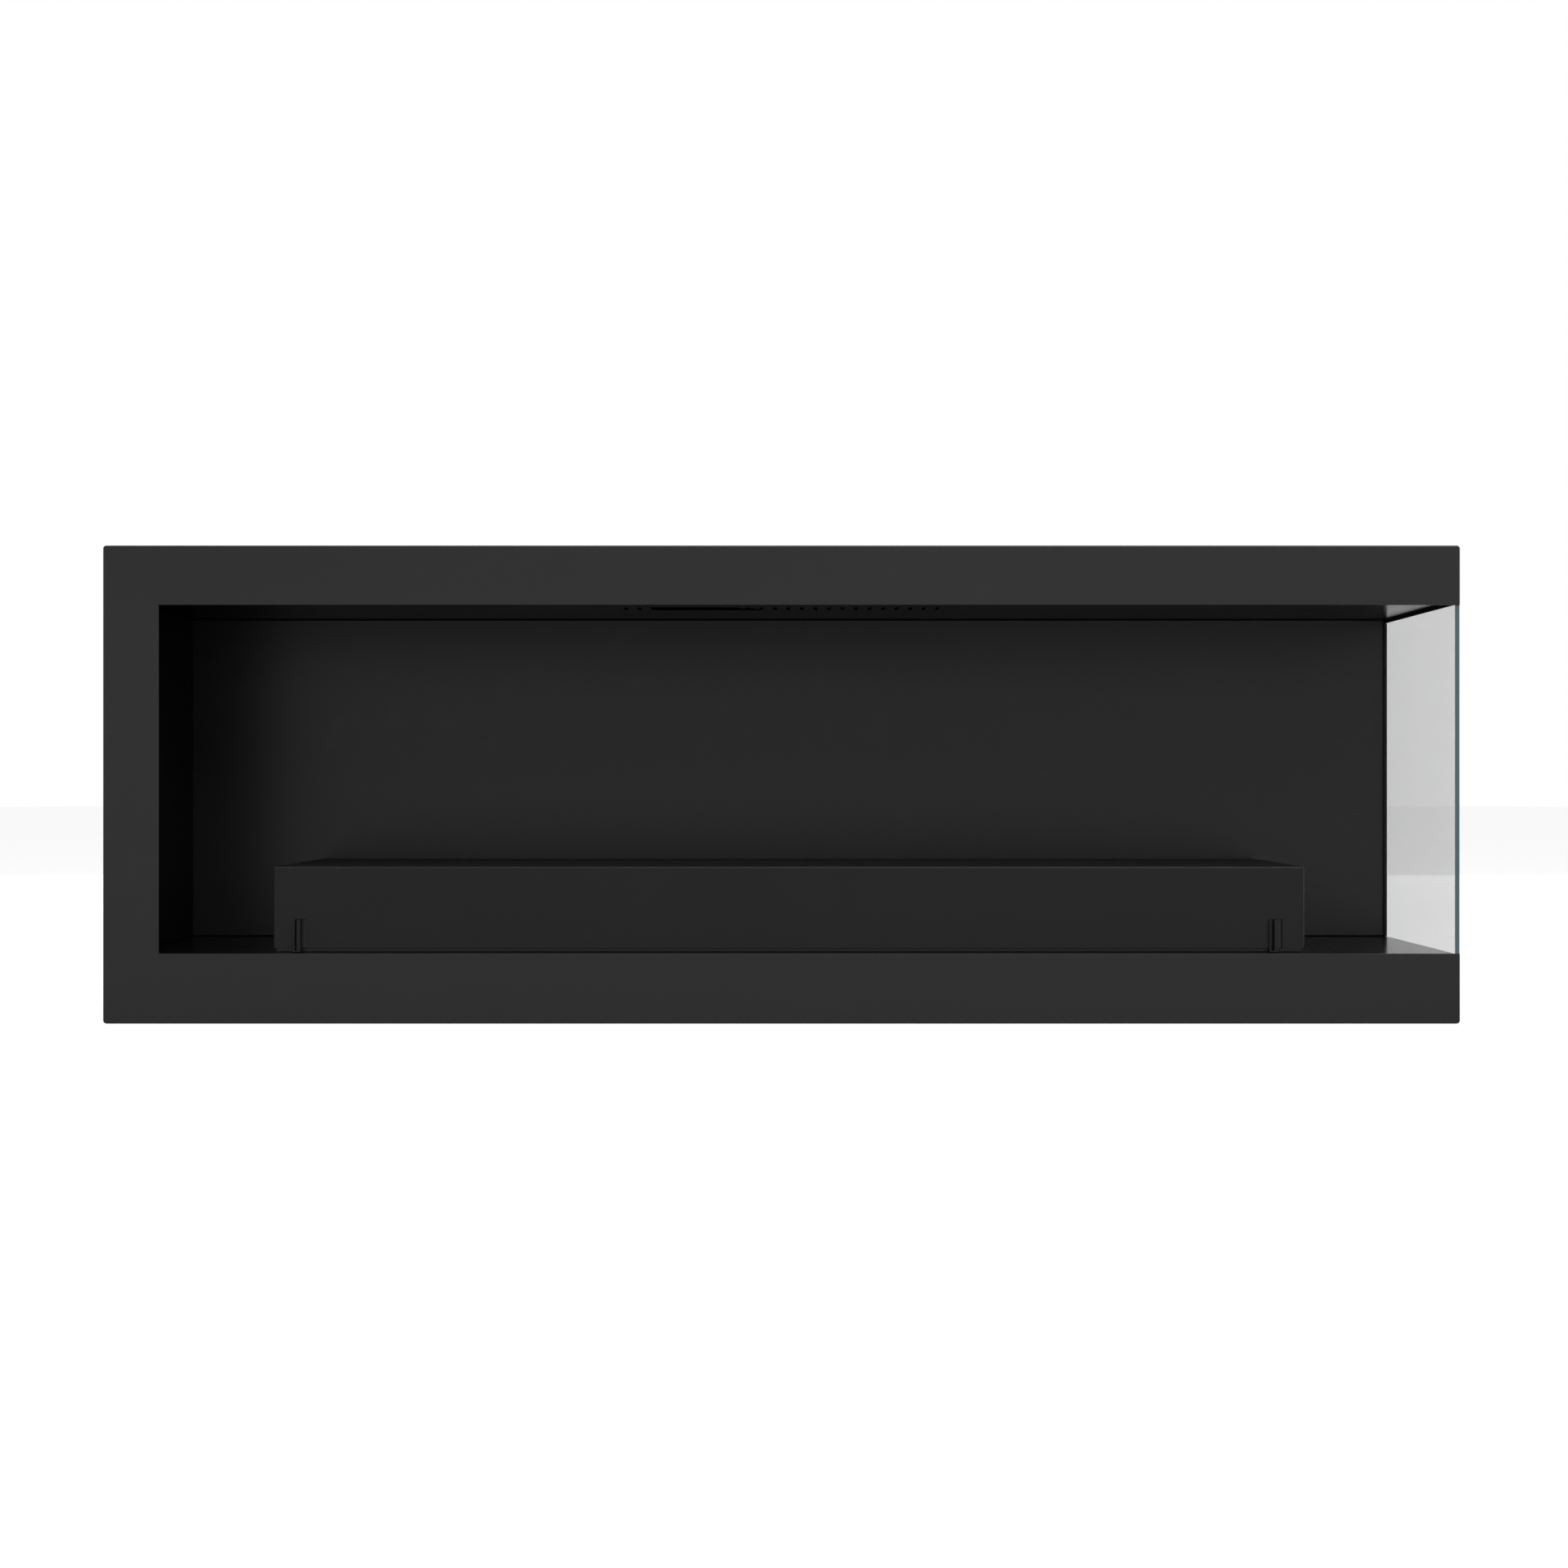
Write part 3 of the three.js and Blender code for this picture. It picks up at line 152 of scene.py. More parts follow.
class FireplaceStage(bpy.types.PropertyGroup):
    """Floor, lights and camera."""

    key_power: FloatProperty(
        name="Key light", description="Power of the wide soft light in front", default=16, unit="POWER"
    )
    key_height: length("Key height", "Height of the middle of the wide soft light", 0.24)
    key_distance: length("Key distance", "Distance of the wide soft light in front of the origin", 1.7)
    fill_power: FloatProperty(
        name="Fill light",
        description="Power of all the soft boxes round the object",
        default=260,
        unit="POWER",
    )
    world: FloatProperty(
        name="Room", description="Brightness of the even light round the stage", default=0.12, min=0.0
    )
    glow: FloatProperty(
        name="Floor glow", description="How much the pale floor shines by itself", default=0.92, min=0.0
    )
    lens: FloatProperty(name="Lens", description="Focal length in millimetres", default=56.47, min=1.0)
    sides: IntProperty(
        name="Round sides", description="Sides of the finely turned pieces", default=64, min=12
    )


def settings(name):
    return getattr(bpy.context.scene, name)


# -------------------------------------------------------------------------------------------------
# Shader maths
# -------------------------------------------------------------------------------------------------

# The colour sockets of a Mix node, which share their names with its number and vector sockets
MIX_FACTOR, MIX_FIRST, MIX_SECOND, MIX_RESULT = 0, 6, 7, 2


class Signal:
    """An output socket that can be used in Python expressions."""

    def __init__(self, finish, socket):
        self.finish = finish
        self.socket = socket

    def _work(self, operation, first, second):
        """Numbers go through a Math node, and colours through a Mix node, which keeps their hue."""
        if self.socket.type == "RGBA":
            return self.finish.blend(1.0, first, second, operation)
        return self.finish.node("ShaderNodeMath", {"operation": operation}, {0: first, 1: second})

    def __add__(self, other):
        return self._work("ADD", self, other)

    def __radd__(self, other):
        return self._work("ADD", other, self)

    def __sub__(self, other):
        return self._work("SUBTRACT", self, other)

    def __rsub__(self, other):
        return self._work("SUBTRACT", other, self)

    def __mul__(self, other):
        return self._work("MULTIPLY", self, other)

    def __rmul__(self, other):
        return self._work("MULTIPLY", other, self)

    def between(self, low, high):
        """0 at one value and 1 at the other, smoothly and without overshoot."""
        return self.finish.node(
            "ShaderNodeMapRange",
            {"interpolation_type": "SMOOTHSTEP"},
            {"Value": self, "From Min": low, "From Max": high, "To Min": 0.0, "To Max": 1.0},
        )


def tint(value):
    """A number or a colour as something a colour socket takes."""
    if isinstance(value, Signal):
        return value
    if isinstance(value, (int, float)):
        return (value, value, value, 1.0)
    return (*value[:3], 1.0)


def shaded(base, share):
    """A colour made darker or lighter."""
    return [min(1.0, channel * share) for channel in base]


class Finish:
    """One procedural material, built on a Principled shader."""

    def __init__(self, name, **uniform):
        self.material = bpy.data.materials.new(name)
        self.material.use_nodes = True
        self.tree = self.material.node_tree
        self.tree.nodes.clear()
        self.shader = self.tree.nodes.new("ShaderNodeBsdfPrincipled")
        output = self.tree.nodes.new("ShaderNodeOutputMaterial")
        self.tree.links.new(self.shader.outputs["BSDF"], output.inputs["Surface"])
        for label, value in uniform.items():
            self.set(label, value)
        self.place = None

    def node(self, kind, choices=None, inputs=None, output=0):
        """Adds a node: its type, its settings, then the values or links of its sockets."""
        made = self.tree.nodes.new(kind)
        for key, value in (choices or {}).items():
            setattr(made, key, value)
        for key, value in (inputs or {}).items():
            self._feed(made.inputs[key], value)
        return Signal(self, made.outputs[output])

    def _feed(self, socket, value):
        if isinstance(value, Signal):
            self.tree.links.new(value.socket, socket)
        elif socket.type == "RGBA":
            socket.default_value = tint(value)
        else:
            socket.default_value = value

    def set(self, label, value):
        self._feed(self.shader.inputs[label], value)

    def blend(self, factor, first, second, kind="MIX"):
        return self.node(
            "ShaderNodeMix",
            {"data_type": "RGBA", "blend_type": kind},
            {MIX_FACTOR: factor, MIX_FIRST: tint(first), MIX_SECOND: tint(second)},
            output=MIX_RESULT,
        )

    def where(self):
        """Place on the piece, in metres."""
        if self.place is None:
            self.place = self.node("ShaderNodeTexCoord", output="Object")
        return self.place

    def stretched(self, *scale):
        """Place on the piece with its own number of waves per metre along each axis."""
        inputs = {"Vector": self.where(), "Scale": scale}
        return self.node("ShaderNodeMapping", {"vector_type": "POINT"}, inputs)

    def noise(self, per_metre, detail=3.0, roughness=0.5, place=None):
        return self.node(
            "ShaderNodeTexNoise",
            {"noise_dimensions": "3D"},
            {"Vector": place or self.where(), "Scale": per_metre, "Detail": detail, "Roughness": roughness},
        )

    def cells(self, per_metre, feature="F1", output="Distance"):
        return self.node(
            "ShaderNodeTexVoronoi",
            {"voronoi_dimensions": "3D", "feature": feature},
            {"Vector": self.where(), "Scale": per_metre},
            output=output,
        )

    def bump(self, height, distance):
        """Relief from a height of about 0 to 1, which stands for the distance in metres."""
        relief = {"Height": height, "Distance": distance, "Strength": 1.0}
        self.set("Normal", self.node("ShaderNodeBump", {}, relief))


def powder_coat(name, base, roughness, peel, grain, specular):
    """Baked powder coat: a fine ripple, some grain, slow drifts of tone and gloss, and rubbed places."""
    made = Finish(name, **{"Specular IOR Level": specular, "IOR": 1.5})
    ripple = made.noise(520.0, detail=2.0, roughness=0.45)
    fine = made.noise(2600.0, detail=1.0)
    drift = made.noise(6.0, roughness=0.55)
    specks = made.cells(950.0).between(0.10, 0.02)
    rubbed = made.noise(38.0, detail=4.0, roughness=0.6).between(0.55, 0.75)
    tone = made.blend(drift.between(0.3, 0.7), shaded(base, 0.93), shaded(base, 1.07))
    made.set("Base Color", made.blend(specks * 0.25, tone, shaded(base, 1.9)))
    mean_of_swing = 0.055
    made.set("Roughness", fine * 0.05 + drift * 0.06 + (roughness - mean_of_swing) - rubbed * 0.04)
    made.bump(ripple + fine * grain, peel * MM)
    return made.material


def sheet_zinc(base):
    """Galvanised sheet: angular spangle that changes tone and gloss, with faint rolling lines."""
    made = Finish("Zinc plated steel", Metallic=1.0)
    spangle = made.cells(160.0, output="Color")
    grey = made.node("ShaderNodeSeparateColor", {}, {"Color": spangle})
    lines = made.noise(1.0, detail=2.0, place=made.stretched(40.0, 2400.0, 2400.0))
    made.set("Base Color", made.blend(grey * 0.5 + 0.1, shaded(base, 0.78), shaded(base, 1.12)))
    made.set("Roughness", grey * 0.14 + lines * 0.10 + 0.24)
    made.bump(lines + grey * 0.6, 0.02 * MM)
    return made.material


def turned_metal(name, base, roughness):
    """Turned or plated metal with fine concentric tool lines and a little tarnish."""
    made = Finish(name, Metallic=1.0)
    lines = made.noise(1.0, detail=2.0, place=made.stretched(300.0, 300.0, 5200.0))
    tarnish = made.noise(120.0, detail=4.0, roughness=0.6).between(0.45, 0.75)
    made.set("Base Color", made.blend(tarnish * 0.4, base, shaded(base, 0.55)))
    made.set("Roughness", lines * 0.10 + tarnish * 0.12 + roughness)
    made.bump(lines, 0.02 * MM)
    return made.material


def moulded(name, base, roughness, grain=1.0):
    """Spark-eroded plastic: a fine pebbled grain and small changes of gloss."""
    made = Finish(name, **{"Specular IOR Level": 0.4})
    pebbles = made.cells(1500.0)
    cloud = made.noise(25.0)
    made.set("Base Color", made.blend(cloud, shaded(base, 0.9), shaded(base, 1.12)))
    mean_of_swing = 0.08
    made.set("Roughness", cloud * 0.08 + pebbles * 0.08 + (roughness - mean_of_swing))
    made.bump(pebbles, 0.05 * MM * grain)
    return made.material


def float_glass(base):
    """Clear pane with hardly any change of tint and a few faintly duller places."""
    made = Finish("Float glass", **{"Transmission Weight": 1.0, "IOR": 1.5, "Specular IOR Level": 0.5})
    made.set("Base Color", made.blend(made.noise(3.0).between(0.4, 0.6), base, shaded(base, 0.995)))
    made.set("Roughness", made.noise(30.0, detail=4.0).between(0.55, 0.8) * 0.02)
    return made.material


def glass_edge(base):
    """Ground and polished edge of the pane, where the glass shows its green."""
    made = Finish("Pane edge", **{"IOR": 1.5, "Specular IOR Level": 0.6, "Coat Roughness": 0.06})
    streaks = made.noise(1.0, roughness=0.6, place=made.stretched(900.0, 900.0, 60.0))
    made.set("Base Color", made.blend(streaks, shaded(base, 0.88), shaded(base, 1.12)))
    made.set("Roughness", streaks * 0.10 + 0.12)
    made.set("Coat Weight", 0.6)
    return made.material


def smoke_plastic(base):
    """Translucent moulded tank wall with faint flow lines."""
    made = Finish("Smoke plastic", **{"Transmission Weight": 0.82, "IOR": 1.49})
    flow = made.noise(1.0, place=made.stretched(9.0, 70.0, 40.0))
    made.set("Base Color", made.blend(flow, shaded(base, 0.9), base))
    made.set("Roughness", flow * 0.12 + 0.10)
    made.bump(flow, 0.04 * MM)
    return made.material


def circuit_board(base):
    """Solder mask over branching copper tracks and bright pads."""
    made = Finish("Circuit board", **{"Specular IOR Level": 0.5, "Coat Roughness": 0.2})
    tracks = made.cells(170.0, "DISTANCE_TO_EDGE").between(0.035, 0.02)
    pads = made.cells(260.0).between(0.16, 0.12)
    over_copper = (base[0] * 2.4 + 0.02, base[1] * 1.9, base[2] * 1.7)
    bare_solder = (0.42, 0.40, 0.36)
    made.set("Base Color", made.blend(pads * 0.8, made.blend(tracks, base, over_copper), bare_solder))
    made.set("Roughness", 0.42 - pads * 0.15)
    made.set("Coat Weight", 0.4)
    made.bump(tracks + pads, 0.04 * MM)
    return made.material


def pale_ceramic(base):
    """Fired ceramic or white plastic with clouds of tone and fine pores."""
    made = Finish("Pale ceramic", **{"Specular IOR Level": 0.45})
    cloud = made.noise(60.0, detail=4.0, roughness=0.6)
    pores = made.cells(1400.0).between(0.12, 0.02)
    made.set("Base Color", made.blend(cloud, shaded(base, 0.88), base))
    made.set("Roughness", cloud * 0.1 + pores * 0.1 + 0.38)
    made.bump(cloud - pores * 0.5, 0.05 * MM)
    return made.material


def lamp_lens():
    """Yellow phosphor under a clear silicone dome."""
    made = Finish("Lamp phosphor", **{"Specular IOR Level": 0.6, "Coat Roughness": 0.05})
    grain = made.noise(2200.0, detail=2.0)
    made.set("Base Color", made.blend(grain, (0.72, 0.50, 0.09), (0.86, 0.66, 0.20)))
    made.set("Roughness", grain * 0.1 + 0.22)
    made.set("Coat Weight", 0.8)
    return made.material


def silvered_disc():
    """Silvered face of a piezo disc with its faint lapping rings."""
    made = Finish("Piezo disc", Metallic=0.7)
    rings = made.noise(1.0, detail=2.0, place=made.stretched(2200.0, 2200.0, 100.0))
    made.set("Base Color", made.blend(rings, (0.60, 0.60, 0.58), (0.74, 0.73, 0.70)))
    made.set("Roughness", rings * 0.12 + 0.26)
    return made.material


def coats(sheet):
    """The powder coats: their colour, then roughness, ripple, grain and gloss."""
    coat, liner = list(sheet.coat), list(sheet.liner)
    peel = sheet.peel
    smooth = peel * 0.3
    back_wall = shaded(liner, 3.6)  # painted light: the back wall's coat is made 3.6 times lighter than the liner, since it faces the wide soft light and is seen lighter than the rest
    return {
        "satin": lambda: powder_coat("Satin powder coat", coat, 0.38, peel, 0.35, 0.36),
        # this finish carries painted light: the liner made lighter where the soft light falls on the back
        # wall
        "liner": lambda: powder_coat("Back wall coat painted lighter", back_wall, 0.33, peel, 0.5, 0.27),
        "cover": lambda: powder_coat("Cover coat", coat, 0.38, peel, 0.35, 0.20),
        "side": lambda: powder_coat("Side wall coat", liner, 0.60, peel, 0.6, 0.08),
        "ceiling": lambda: powder_coat("Ceiling coat", liner, 0.22, smooth, 0.2, 0.12),
        "floor": lambda: powder_coat("Chamber floor coat", liner, 0.19, smooth, 0.2, 0.18),
    }


def other_finishes(colours):
    """Glass, mouldings, metals and the board."""
    return {
        "glass": lambda: float_glass(list(colours.pane)),
        "glass_edge": lambda: glass_edge(list(colours.pane_edge)),
        "rubber": lambda: moulded("Black rubber", list(colours.rubber), 0.82, 0.6),
        "moulding": lambda: moulded("Black moulding", list(colours.moulding), 0.46),
        "dark": lambda: moulded("Dark component", [0.012, 0.012, 0.013], 0.38, 0.4),
        "relay": lambda: moulded("Relay case", [0.03, 0.10, 0.26], 0.34, 0.3),
        "tank": lambda: smoke_plastic(list(colours.tank)),
        "zinc": lambda: sheet_zinc(list(colours.zinc)),
        "steel": lambda: turned_metal("Plated screw steel", list(colours.zinc), 0.26),
        "brass": lambda: turned_metal("Satin brass", list(colours.brass), 0.24),
        "aluminium": lambda: turned_metal("Extruded aluminium", [0.66, 0.67, 0.68], 0.30),
        "board": lambda: circuit_board(list(colours.board)),
        "ceramic": lambda: pale_ceramic(list(colours.ceramic)),
        "lamp": lamp_lens,
        "disc": silvered_disc,
    }


_finishes = {}


def finish(name):
    """The material of that name, made when it is first asked for."""
    if name not in _finishes:
        makers = coats(settings("fireplace_sheet")) | other_finishes(settings("fireplace_finishes"))
        _finishes[name] = makers[name]()
    return _finishes[name]


# -------------------------------------------------------------------------------------------------
# Shapes
# -------------------------------------------------------------------------------------------------

WELD = 0.002 * MM
TOUCH = 0.05 * MM
FLAT_ANGLE = math.radians(0.6)
FOLD_ANGLE = math.radians(50)
EDGE_ANGLE = math.radians(38)
FOLD_STEPS = 4
EDGE_STEPS = 2
FACE_WEIGHT = 60
BOX_FACES = ((0, 1, 3, 2), (4, 6, 7, 5), (0, 4, 5, 1), (2, 3, 7, 6), (0, 2, 6, 4), (1, 5, 7, 3))


def body_of(node):
    return frame["nodes"][node]["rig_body"]


def slot_of(node):
    return next(part["material_slot"] for part in frame["record"]["subparts"] if part["node"] == node)


def shape_of(node):
    """The node's solid with its triangles merged back into flat faces."""
    shape = bmesh.new()
    shape.from_mesh(frame["nodes"][node].data)
    bmesh.ops.remove_doubles(shape, verts=shape.verts, dist=WELD)
    bmesh.ops.dissolve_limit(shape, angle_limit=FLAT_ANGLE, verts=shape.verts, edges=shape.edges)
    return shape


def mark_folds(shape, folds):
    """Gives the sharp edges whose two corners lie on a fold a full bevel weight."""
    weight = shape.edges.layers.float.new("bevel_weight_edge")
    for line in shape.edges:
        if all(folds(corner.co) for corner in line.verts) and len(line.link_faces) == 2:
            if line.calc_face_angle(0.0) > FOLD_ANGLE:
                line[weight] = 1.0


def add_bevel(piece, name, width, segments, limit):
    bend = piece.modifiers.new(name, "BEVEL")
    bend.width = width
    bend.segments = segments
    bend.limit_method = limit
    bend.angle_limit = EDGE_ANGLE
    bend.harden_normals = True
    bend.use_clamp_overlap = True
    bend.miter_outer = "MITER_ARC"


def add_piece(name, shape, finishes, body, slot, nodes=(), fold=None, folds=None, edge=None, paint=None):
    """Makes a piece from a bmesh: folds get a round bend, other edges are broken, it rides on its body."""
    if folds:
        mark_folds(shape, folds)
    if paint:
        for face in shape.faces:
            face.material_index = paint(face)
    for face in shape.faces:
        face.smooth = True
    bmesh.ops.recalc_face_normals(shape, faces=shape.faces)
    mesh = bpy.data.meshes.new(name)
    shape.to_mesh(mesh)
    shape.free()
    for label in finishes:
        mesh.materials.append(finish(label))
    piece = bpy.data.objects.new(name, mesh)
    bpy.context.scene.collection.objects.link(piece)
    if folds:
        add_bevel(piece, "Fold", fold, FOLD_STEPS, "WEIGHT")
    broken = settings("fireplace_sheet").edge if edge is None else edge
    if broken > 0:
        add_bevel(piece, "Edge", broken, EDGE_STEPS, "ANGLE")
    normals = piece.modifiers.new("Flat faces", "WEIGHTED_NORMAL")
    normals.keep_sharp = True
    normals.weight = FACE_WEIGHT
    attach(piece, body)
    if nodes:
        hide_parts(*nodes)


def stand_in(node, shape, finishes, **choices):
    """A finer piece in one node's place and on its body."""
    add_piece(f"fine_{node}", shape, finishes, body_of(node), slot_of(node), nodes=(node,), **choices)


def dress(node, *finishes, **choices):
    """The node's own shape with bends, broken edges and finishes."""
    stand_in(node, shape_of(node), finishes, **choices)


def near(value, target):
    return abs(value - target) < TOUCH


def circle(shape, radius, height, sides):
    """A ring of corners round Z, or the single corner where it lies on the axis."""
    if not radius:
        return [shape.verts.new((0, 0, height))]
    angles = [FULL_TURN * step / sides for step in range(sides)]
    return [shape.verts.new((radius * math.cos(a), radius * math.sin(a), height)) for a in angles]


def turned(profile, sides, centre=(0.0, 0.0, 0.0), closed=False):
    """A body turned from radius and height points, which end on the axis or close up as a ring."""
    shape = bmesh.new()
    rings = [circle(shape, radius, height, sides) for radius, height in profile]
    for low, high in zip(rings, rings[1:] + rings[:1] if closed else rings[1:]):
        for step in range(sides):
            after = (step + 1) % sides
            corners = (
                low[step % len(low)], low[after % len(low)], high[after % len(high)], high[step % len(high)]
            )
            unique = list(dict.fromkeys(corners))
            if len(unique) > 2:
                shape.faces.new(unique)
    return moved(shape, *centre)


def washer(inner, outer, low, high, sides, centre=(0.0, 0.0, 0.0)):
    section = [(inner, low), (outer, low), (outer, high), (inner, high)]
    return turned(section, sides, centre, closed=True)


def turn(shape, centre, axis):
    """Turns a shape made about Z onto X or Y and puts it in its place."""
    turns = {"X": Matrix.Rotation(math.pi / 2, 4, "Y"), "Y": Matrix.Rotation(-math.pi / 2, 4, "X")}
    bmesh.ops.transform(shape, matrix=Matrix.Translation(centre) @ turns[axis], verts=shape.verts)


def moved(shape, x=0.0, y=0.0, z=0.0, spin=0.0):
    """A shape spun about Z and then carried to its place."""
    place = Matrix.Translation((x, y, z)) @ Matrix.Rotation(spin, 4, "Z")
    bmesh.ops.transform(shape, matrix=place, verts=shape.verts)
    return shape


def slab(low, high, shape=None):
    """A box between two corners, added to a shape or started as one."""
    shape = shape or bmesh.new()
    (x0, y0, z0), (x1, y1, z1) = low, high
    corners = [shape.verts.new((x, y, z)) for x in (x0, x1) for y in (y0, y1) for z in (z0, z1)]
    for face in BOX_FACES:
        shape.faces.new([corners[index] for index in face])
    return shape


def merged(*shapes):
    """Several shapes as one."""
    whole = bmesh.new()
    for part in shapes:
        mesh = bpy.data.meshes.new("part")
        part.to_mesh(mesh)
        whole.from_mesh(mesh)
        part.free()
        bpy.data.meshes.remove(mesh)
    return whole


def middle(node):
    low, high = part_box(node)
    return (low + high) / 2


# -------------------------------------------------------------------------------------------------
# Casing
# -------------------------------------------------------------------------------------------------

RIM = 3.2 * MM  # widest part of the front face that still belongs to its outer folds
PAN_FRONT = 25 * MM  # the pans aren't folded this close to the front
PAN_FOLD = 1.2 * MM
PIN_REACH_X, PIN_REACH_Z = 9 * MM, 6 * MM
PIN_SIDE_AREA, PIN_TIP_AREA = 5e-5, 2e-5  # square metres; the socket's own faces are larger
SCREW_SIDES = 40


def build_front_frame():
    low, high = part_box("front_frame")

    def on_outer_fold(at):
        rim = min(at.x - low.x, high.x - at.x, at.z - low.z, high.z - at.z)
        return near(at.y, low.y) and rim < RIM

    fold = settings("fireplace_sheet").frame_fold
    dress("front_frame", "satin", fold=fold, folds=on_outer_fold, edge=GROUND)


def build_pan(node, face):
    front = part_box(node)[0].y + PAN_FRONT
    dress(node, "satin", fold=PAN_FOLD, folds=lambda at: near(at.z, face) and at.y > front)


def build_casing():
    build_pan("base_pan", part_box("base_pan")[0].z)
    build_pan("top_pan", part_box("top_pan")[1].z)
    dress("left_side_panel", "satin")
    dress("right_side_frame", "satin")
    dress("back_panel", "satin", edge=CUT)
    for index in range(1, 5):
        build_back_screw(f"back_screw_{index}")
    dress("mains_inlet", "moulding", "brass", edge=MOULDED, paint=inlet_pin_paint)


def inlet_pin_paint(face):
    """The three pins inside the socket are brass."""
    at = face.calc_center_median() - middle("mains_inlet")
    inside = abs(at.x) < PIN_REACH_X and abs(at.z) < PIN_REACH_Z
    along_pin = abs(face.normal.y) < 0.5
    return int(inside and face.calc_area() < (PIN_SIDE_AREA if along_pin else PIN_TIP_AREA))


def build_back_screw(node):
    """Countersunk screw, its head flush with the back, with its cross recess drawn as painted shade: a thin
    dark cross laid on the head.
    """
    low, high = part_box(node)
    centre = (low + high) / 2
    head = (high.x - low.x) / 2
    shank = head * 0.52
    root = shank * 0.84
    end, tip, pitch, threads = -12.0, -10.6, 0.62, 14
    profile = [(0, end * MM), (shank * 0.4, end * MM)]
    for step in range(threads):
        z = (tip + step * pitch) * MM
        profile += [(shank, z), (root, z + pitch / 2 * MM)]
    profile += [(shank, -1.9 * MM), (shank, -1.6 * MM), (head, -0.25 * MM)]
    profile += [(head * 0.97, -0.05 * MM), (0, -0.02 * MM)]
    # painted shade: the recess isn't cut; two thin bars in the dark finish lie on the head where its shade
    # would be
    arm, half = 2 * MM, 0.4 * MM
    cross = [
        slab((-arm, -half, -0.03 * MM), (arm, half, 0.0)),
        slab((-half, -arm, -0.028 * MM), (half, arm, 0.0)),
    ]
    for bar in cross:
        for face in bar.faces:
            face.material_index = 1
    whole = merged(turned(profile, SCREW_SIDES), *cross)
    turn(whole, (centre.x, high.y, centre.z), "Y")
    stand_in(node, whole, ("steel", "dark"), edge=MADE)


# -------------------------------------------------------------------------------------------------
# Chamber
# -------------------------------------------------------------------------------------------------

# Node, finish, then where its folds lie in its box, whose low corner is 0 and high corner 1:
# the axis and end of the folded side, and the heights of the folds
LINERS = (
    ("chamber_floor", "floor", 1, 0, (1,)),
    ("chamber_ceiling", "ceiling", 1, 0, (0,)),
    # the back wall's finish is the liner painted lighter, as painted light
    ("chamber_back_wall", "liner", 1, 0, (0, 1)),
    ("chamber_left_wall", "side", 0, 1, (0, 1)),
)
PANE_FACE = 0.9  # how squarely a face looks along X to be one of the pane's two large faces


def build_chamber():
    fold = settings("fireplace_sheet").liner_fold
    for node, label, axis, end, levels in LINERS:
        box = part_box(node)

        def on_fold(at):
            return near(at[axis], box[end][axis]) and any(near(at.z, box[level].z) for level in levels)

        dress(node, label, fold=fold, folds=on_fold, edge=CUT)


def build_side_pane():
    dress(
        "side_glass", "glass", "glass_edge", edge=GROUND,
        paint=lambda face: 0 if abs(face.normal.x) > PANE_FACE else 1,
    )
    dress("glass_seal", "rubber", edge=SOFT)


# -------------------------------------------------------------------------------------------------
# Cassette
# -------------------------------------------------------------------------------------------------

LAMPS, LAMP_SIDES = 36, 16
LAMP_PROFILE = ((0, 0), (1.35, 0), (1.35, 0.35), (1.0, 0.72), (0.5, 0.92), (0, 0.98))  # millimetres
FAN_BLADES = 7
CAP_SIDES, CAP_RIBS, RIB_SIDES = 96, 32, 10


def build_cover():
    low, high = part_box("cover_skirt")

    def on_fold(at):
        outer_x = near(at.x, low.x) or near(at.x, high.x)
        outer_y = near(at.y, low.y) or near(at.y, high.y)
        return (near(at.z, high.z) and (outer_x or outer_y)) or (outer_x and outer_y)

    fold = settings("fireplace_sheet").cover_fold
    dress("cover_skirt", "cover", fold=fold, folds=on_fold, edge=CUT)
    dress("cover_deck", "cover", edge=CUT)
    dress("lid_bracket", "zinc", edge=THIN)
    dress("fill_lid", "cover", edge=CUT)
    dress("fill_lid_pin", "steel", edge=CUT)
    for hand in ("left", "right"):
        dress(f"locating_fin_{hand}", "cover", edge=CUT)


def build_tray():
    dress("cassette_tray", "satin", edge=CUT)
    for index in (1, 2):
        dress(f"tray_screw_{index}", "steel", edge=THIN)


def build_mist_unit():
    dress("mist_trough", "moulding", edge=SOFT)
    dress("trough_plate", "moulding", edge=MOULDED)
    dress("slot_collar", "moulding", edge=MOULDED)
    for index in range(1, 5):
        build_transducer(f"transducer_{index}")
    for end in ("front", "rear"):
        build_light_bar(f"light_bar_{end}")
    for hand in ("left", "right"):
        dress(f"mist_fan_frame_{hand}", "moulding", edge=MOULDED)
        build_fan_rotor(f"mist_fan_rotor_{hand}")
    dress("float_stem", "tank", edge=MOULDED)
    build_float_ring()


def build_transducer(node):
    """Ultrasonic puck: a grooved brass cup, a rubber ring and the bright disc inside it."""
    low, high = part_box(node)
    centre = (low + high) / 2
    base = (centre.x, centre.y, low.z)
    tall = high.z - low.z
    radius = (high.x - low.x) / 2
    sides = settings("fireplace_stage").sides
    waist = radius - 0.8 * MM
    well, well_floor = radius - 8 * MM, tall * 0.58
    cup = [
        (0, 0), (radius - 0.4 * MM, 0), (radius, 0.4 * MM), (radius, tall * 0.30), (waist, tall * 0.34),
        (waist, tall * 0.42), (radius, tall * 0.46), (radius, tall * 0.74),
        (radius - 3.2 * MM, tall - 0.4 * MM), (radius - 3.8 * MM, tall), (radius - 5.6 * MM, tall),
        (radius - 6.2 * MM, tall - 0.5 * MM), (well, well_floor), (0, well_floor),
    ]
    stand_in(node, turned(cup, sides, base), ("brass",), edge=MADE)
    laid = tall * 0.585
    ring = washer(radius - 9.6 * MM, radius - 7.9 * MM, laid, tall * 0.66, sides, base)
    add_piece(f"{node}_seal", ring, ["rubber"], body_of(node), "black_rubber", edge=CUT)
    rim, face = radius - 9.9 * MM, tall * 0.62
    disc = turned([(0, laid), (rim, laid), (rim, face), (0, face)], sides, base)
    add_piece(f"{node}_disc", disc, ["disc"], body_of(node), slot_of(node), edge=LAID)


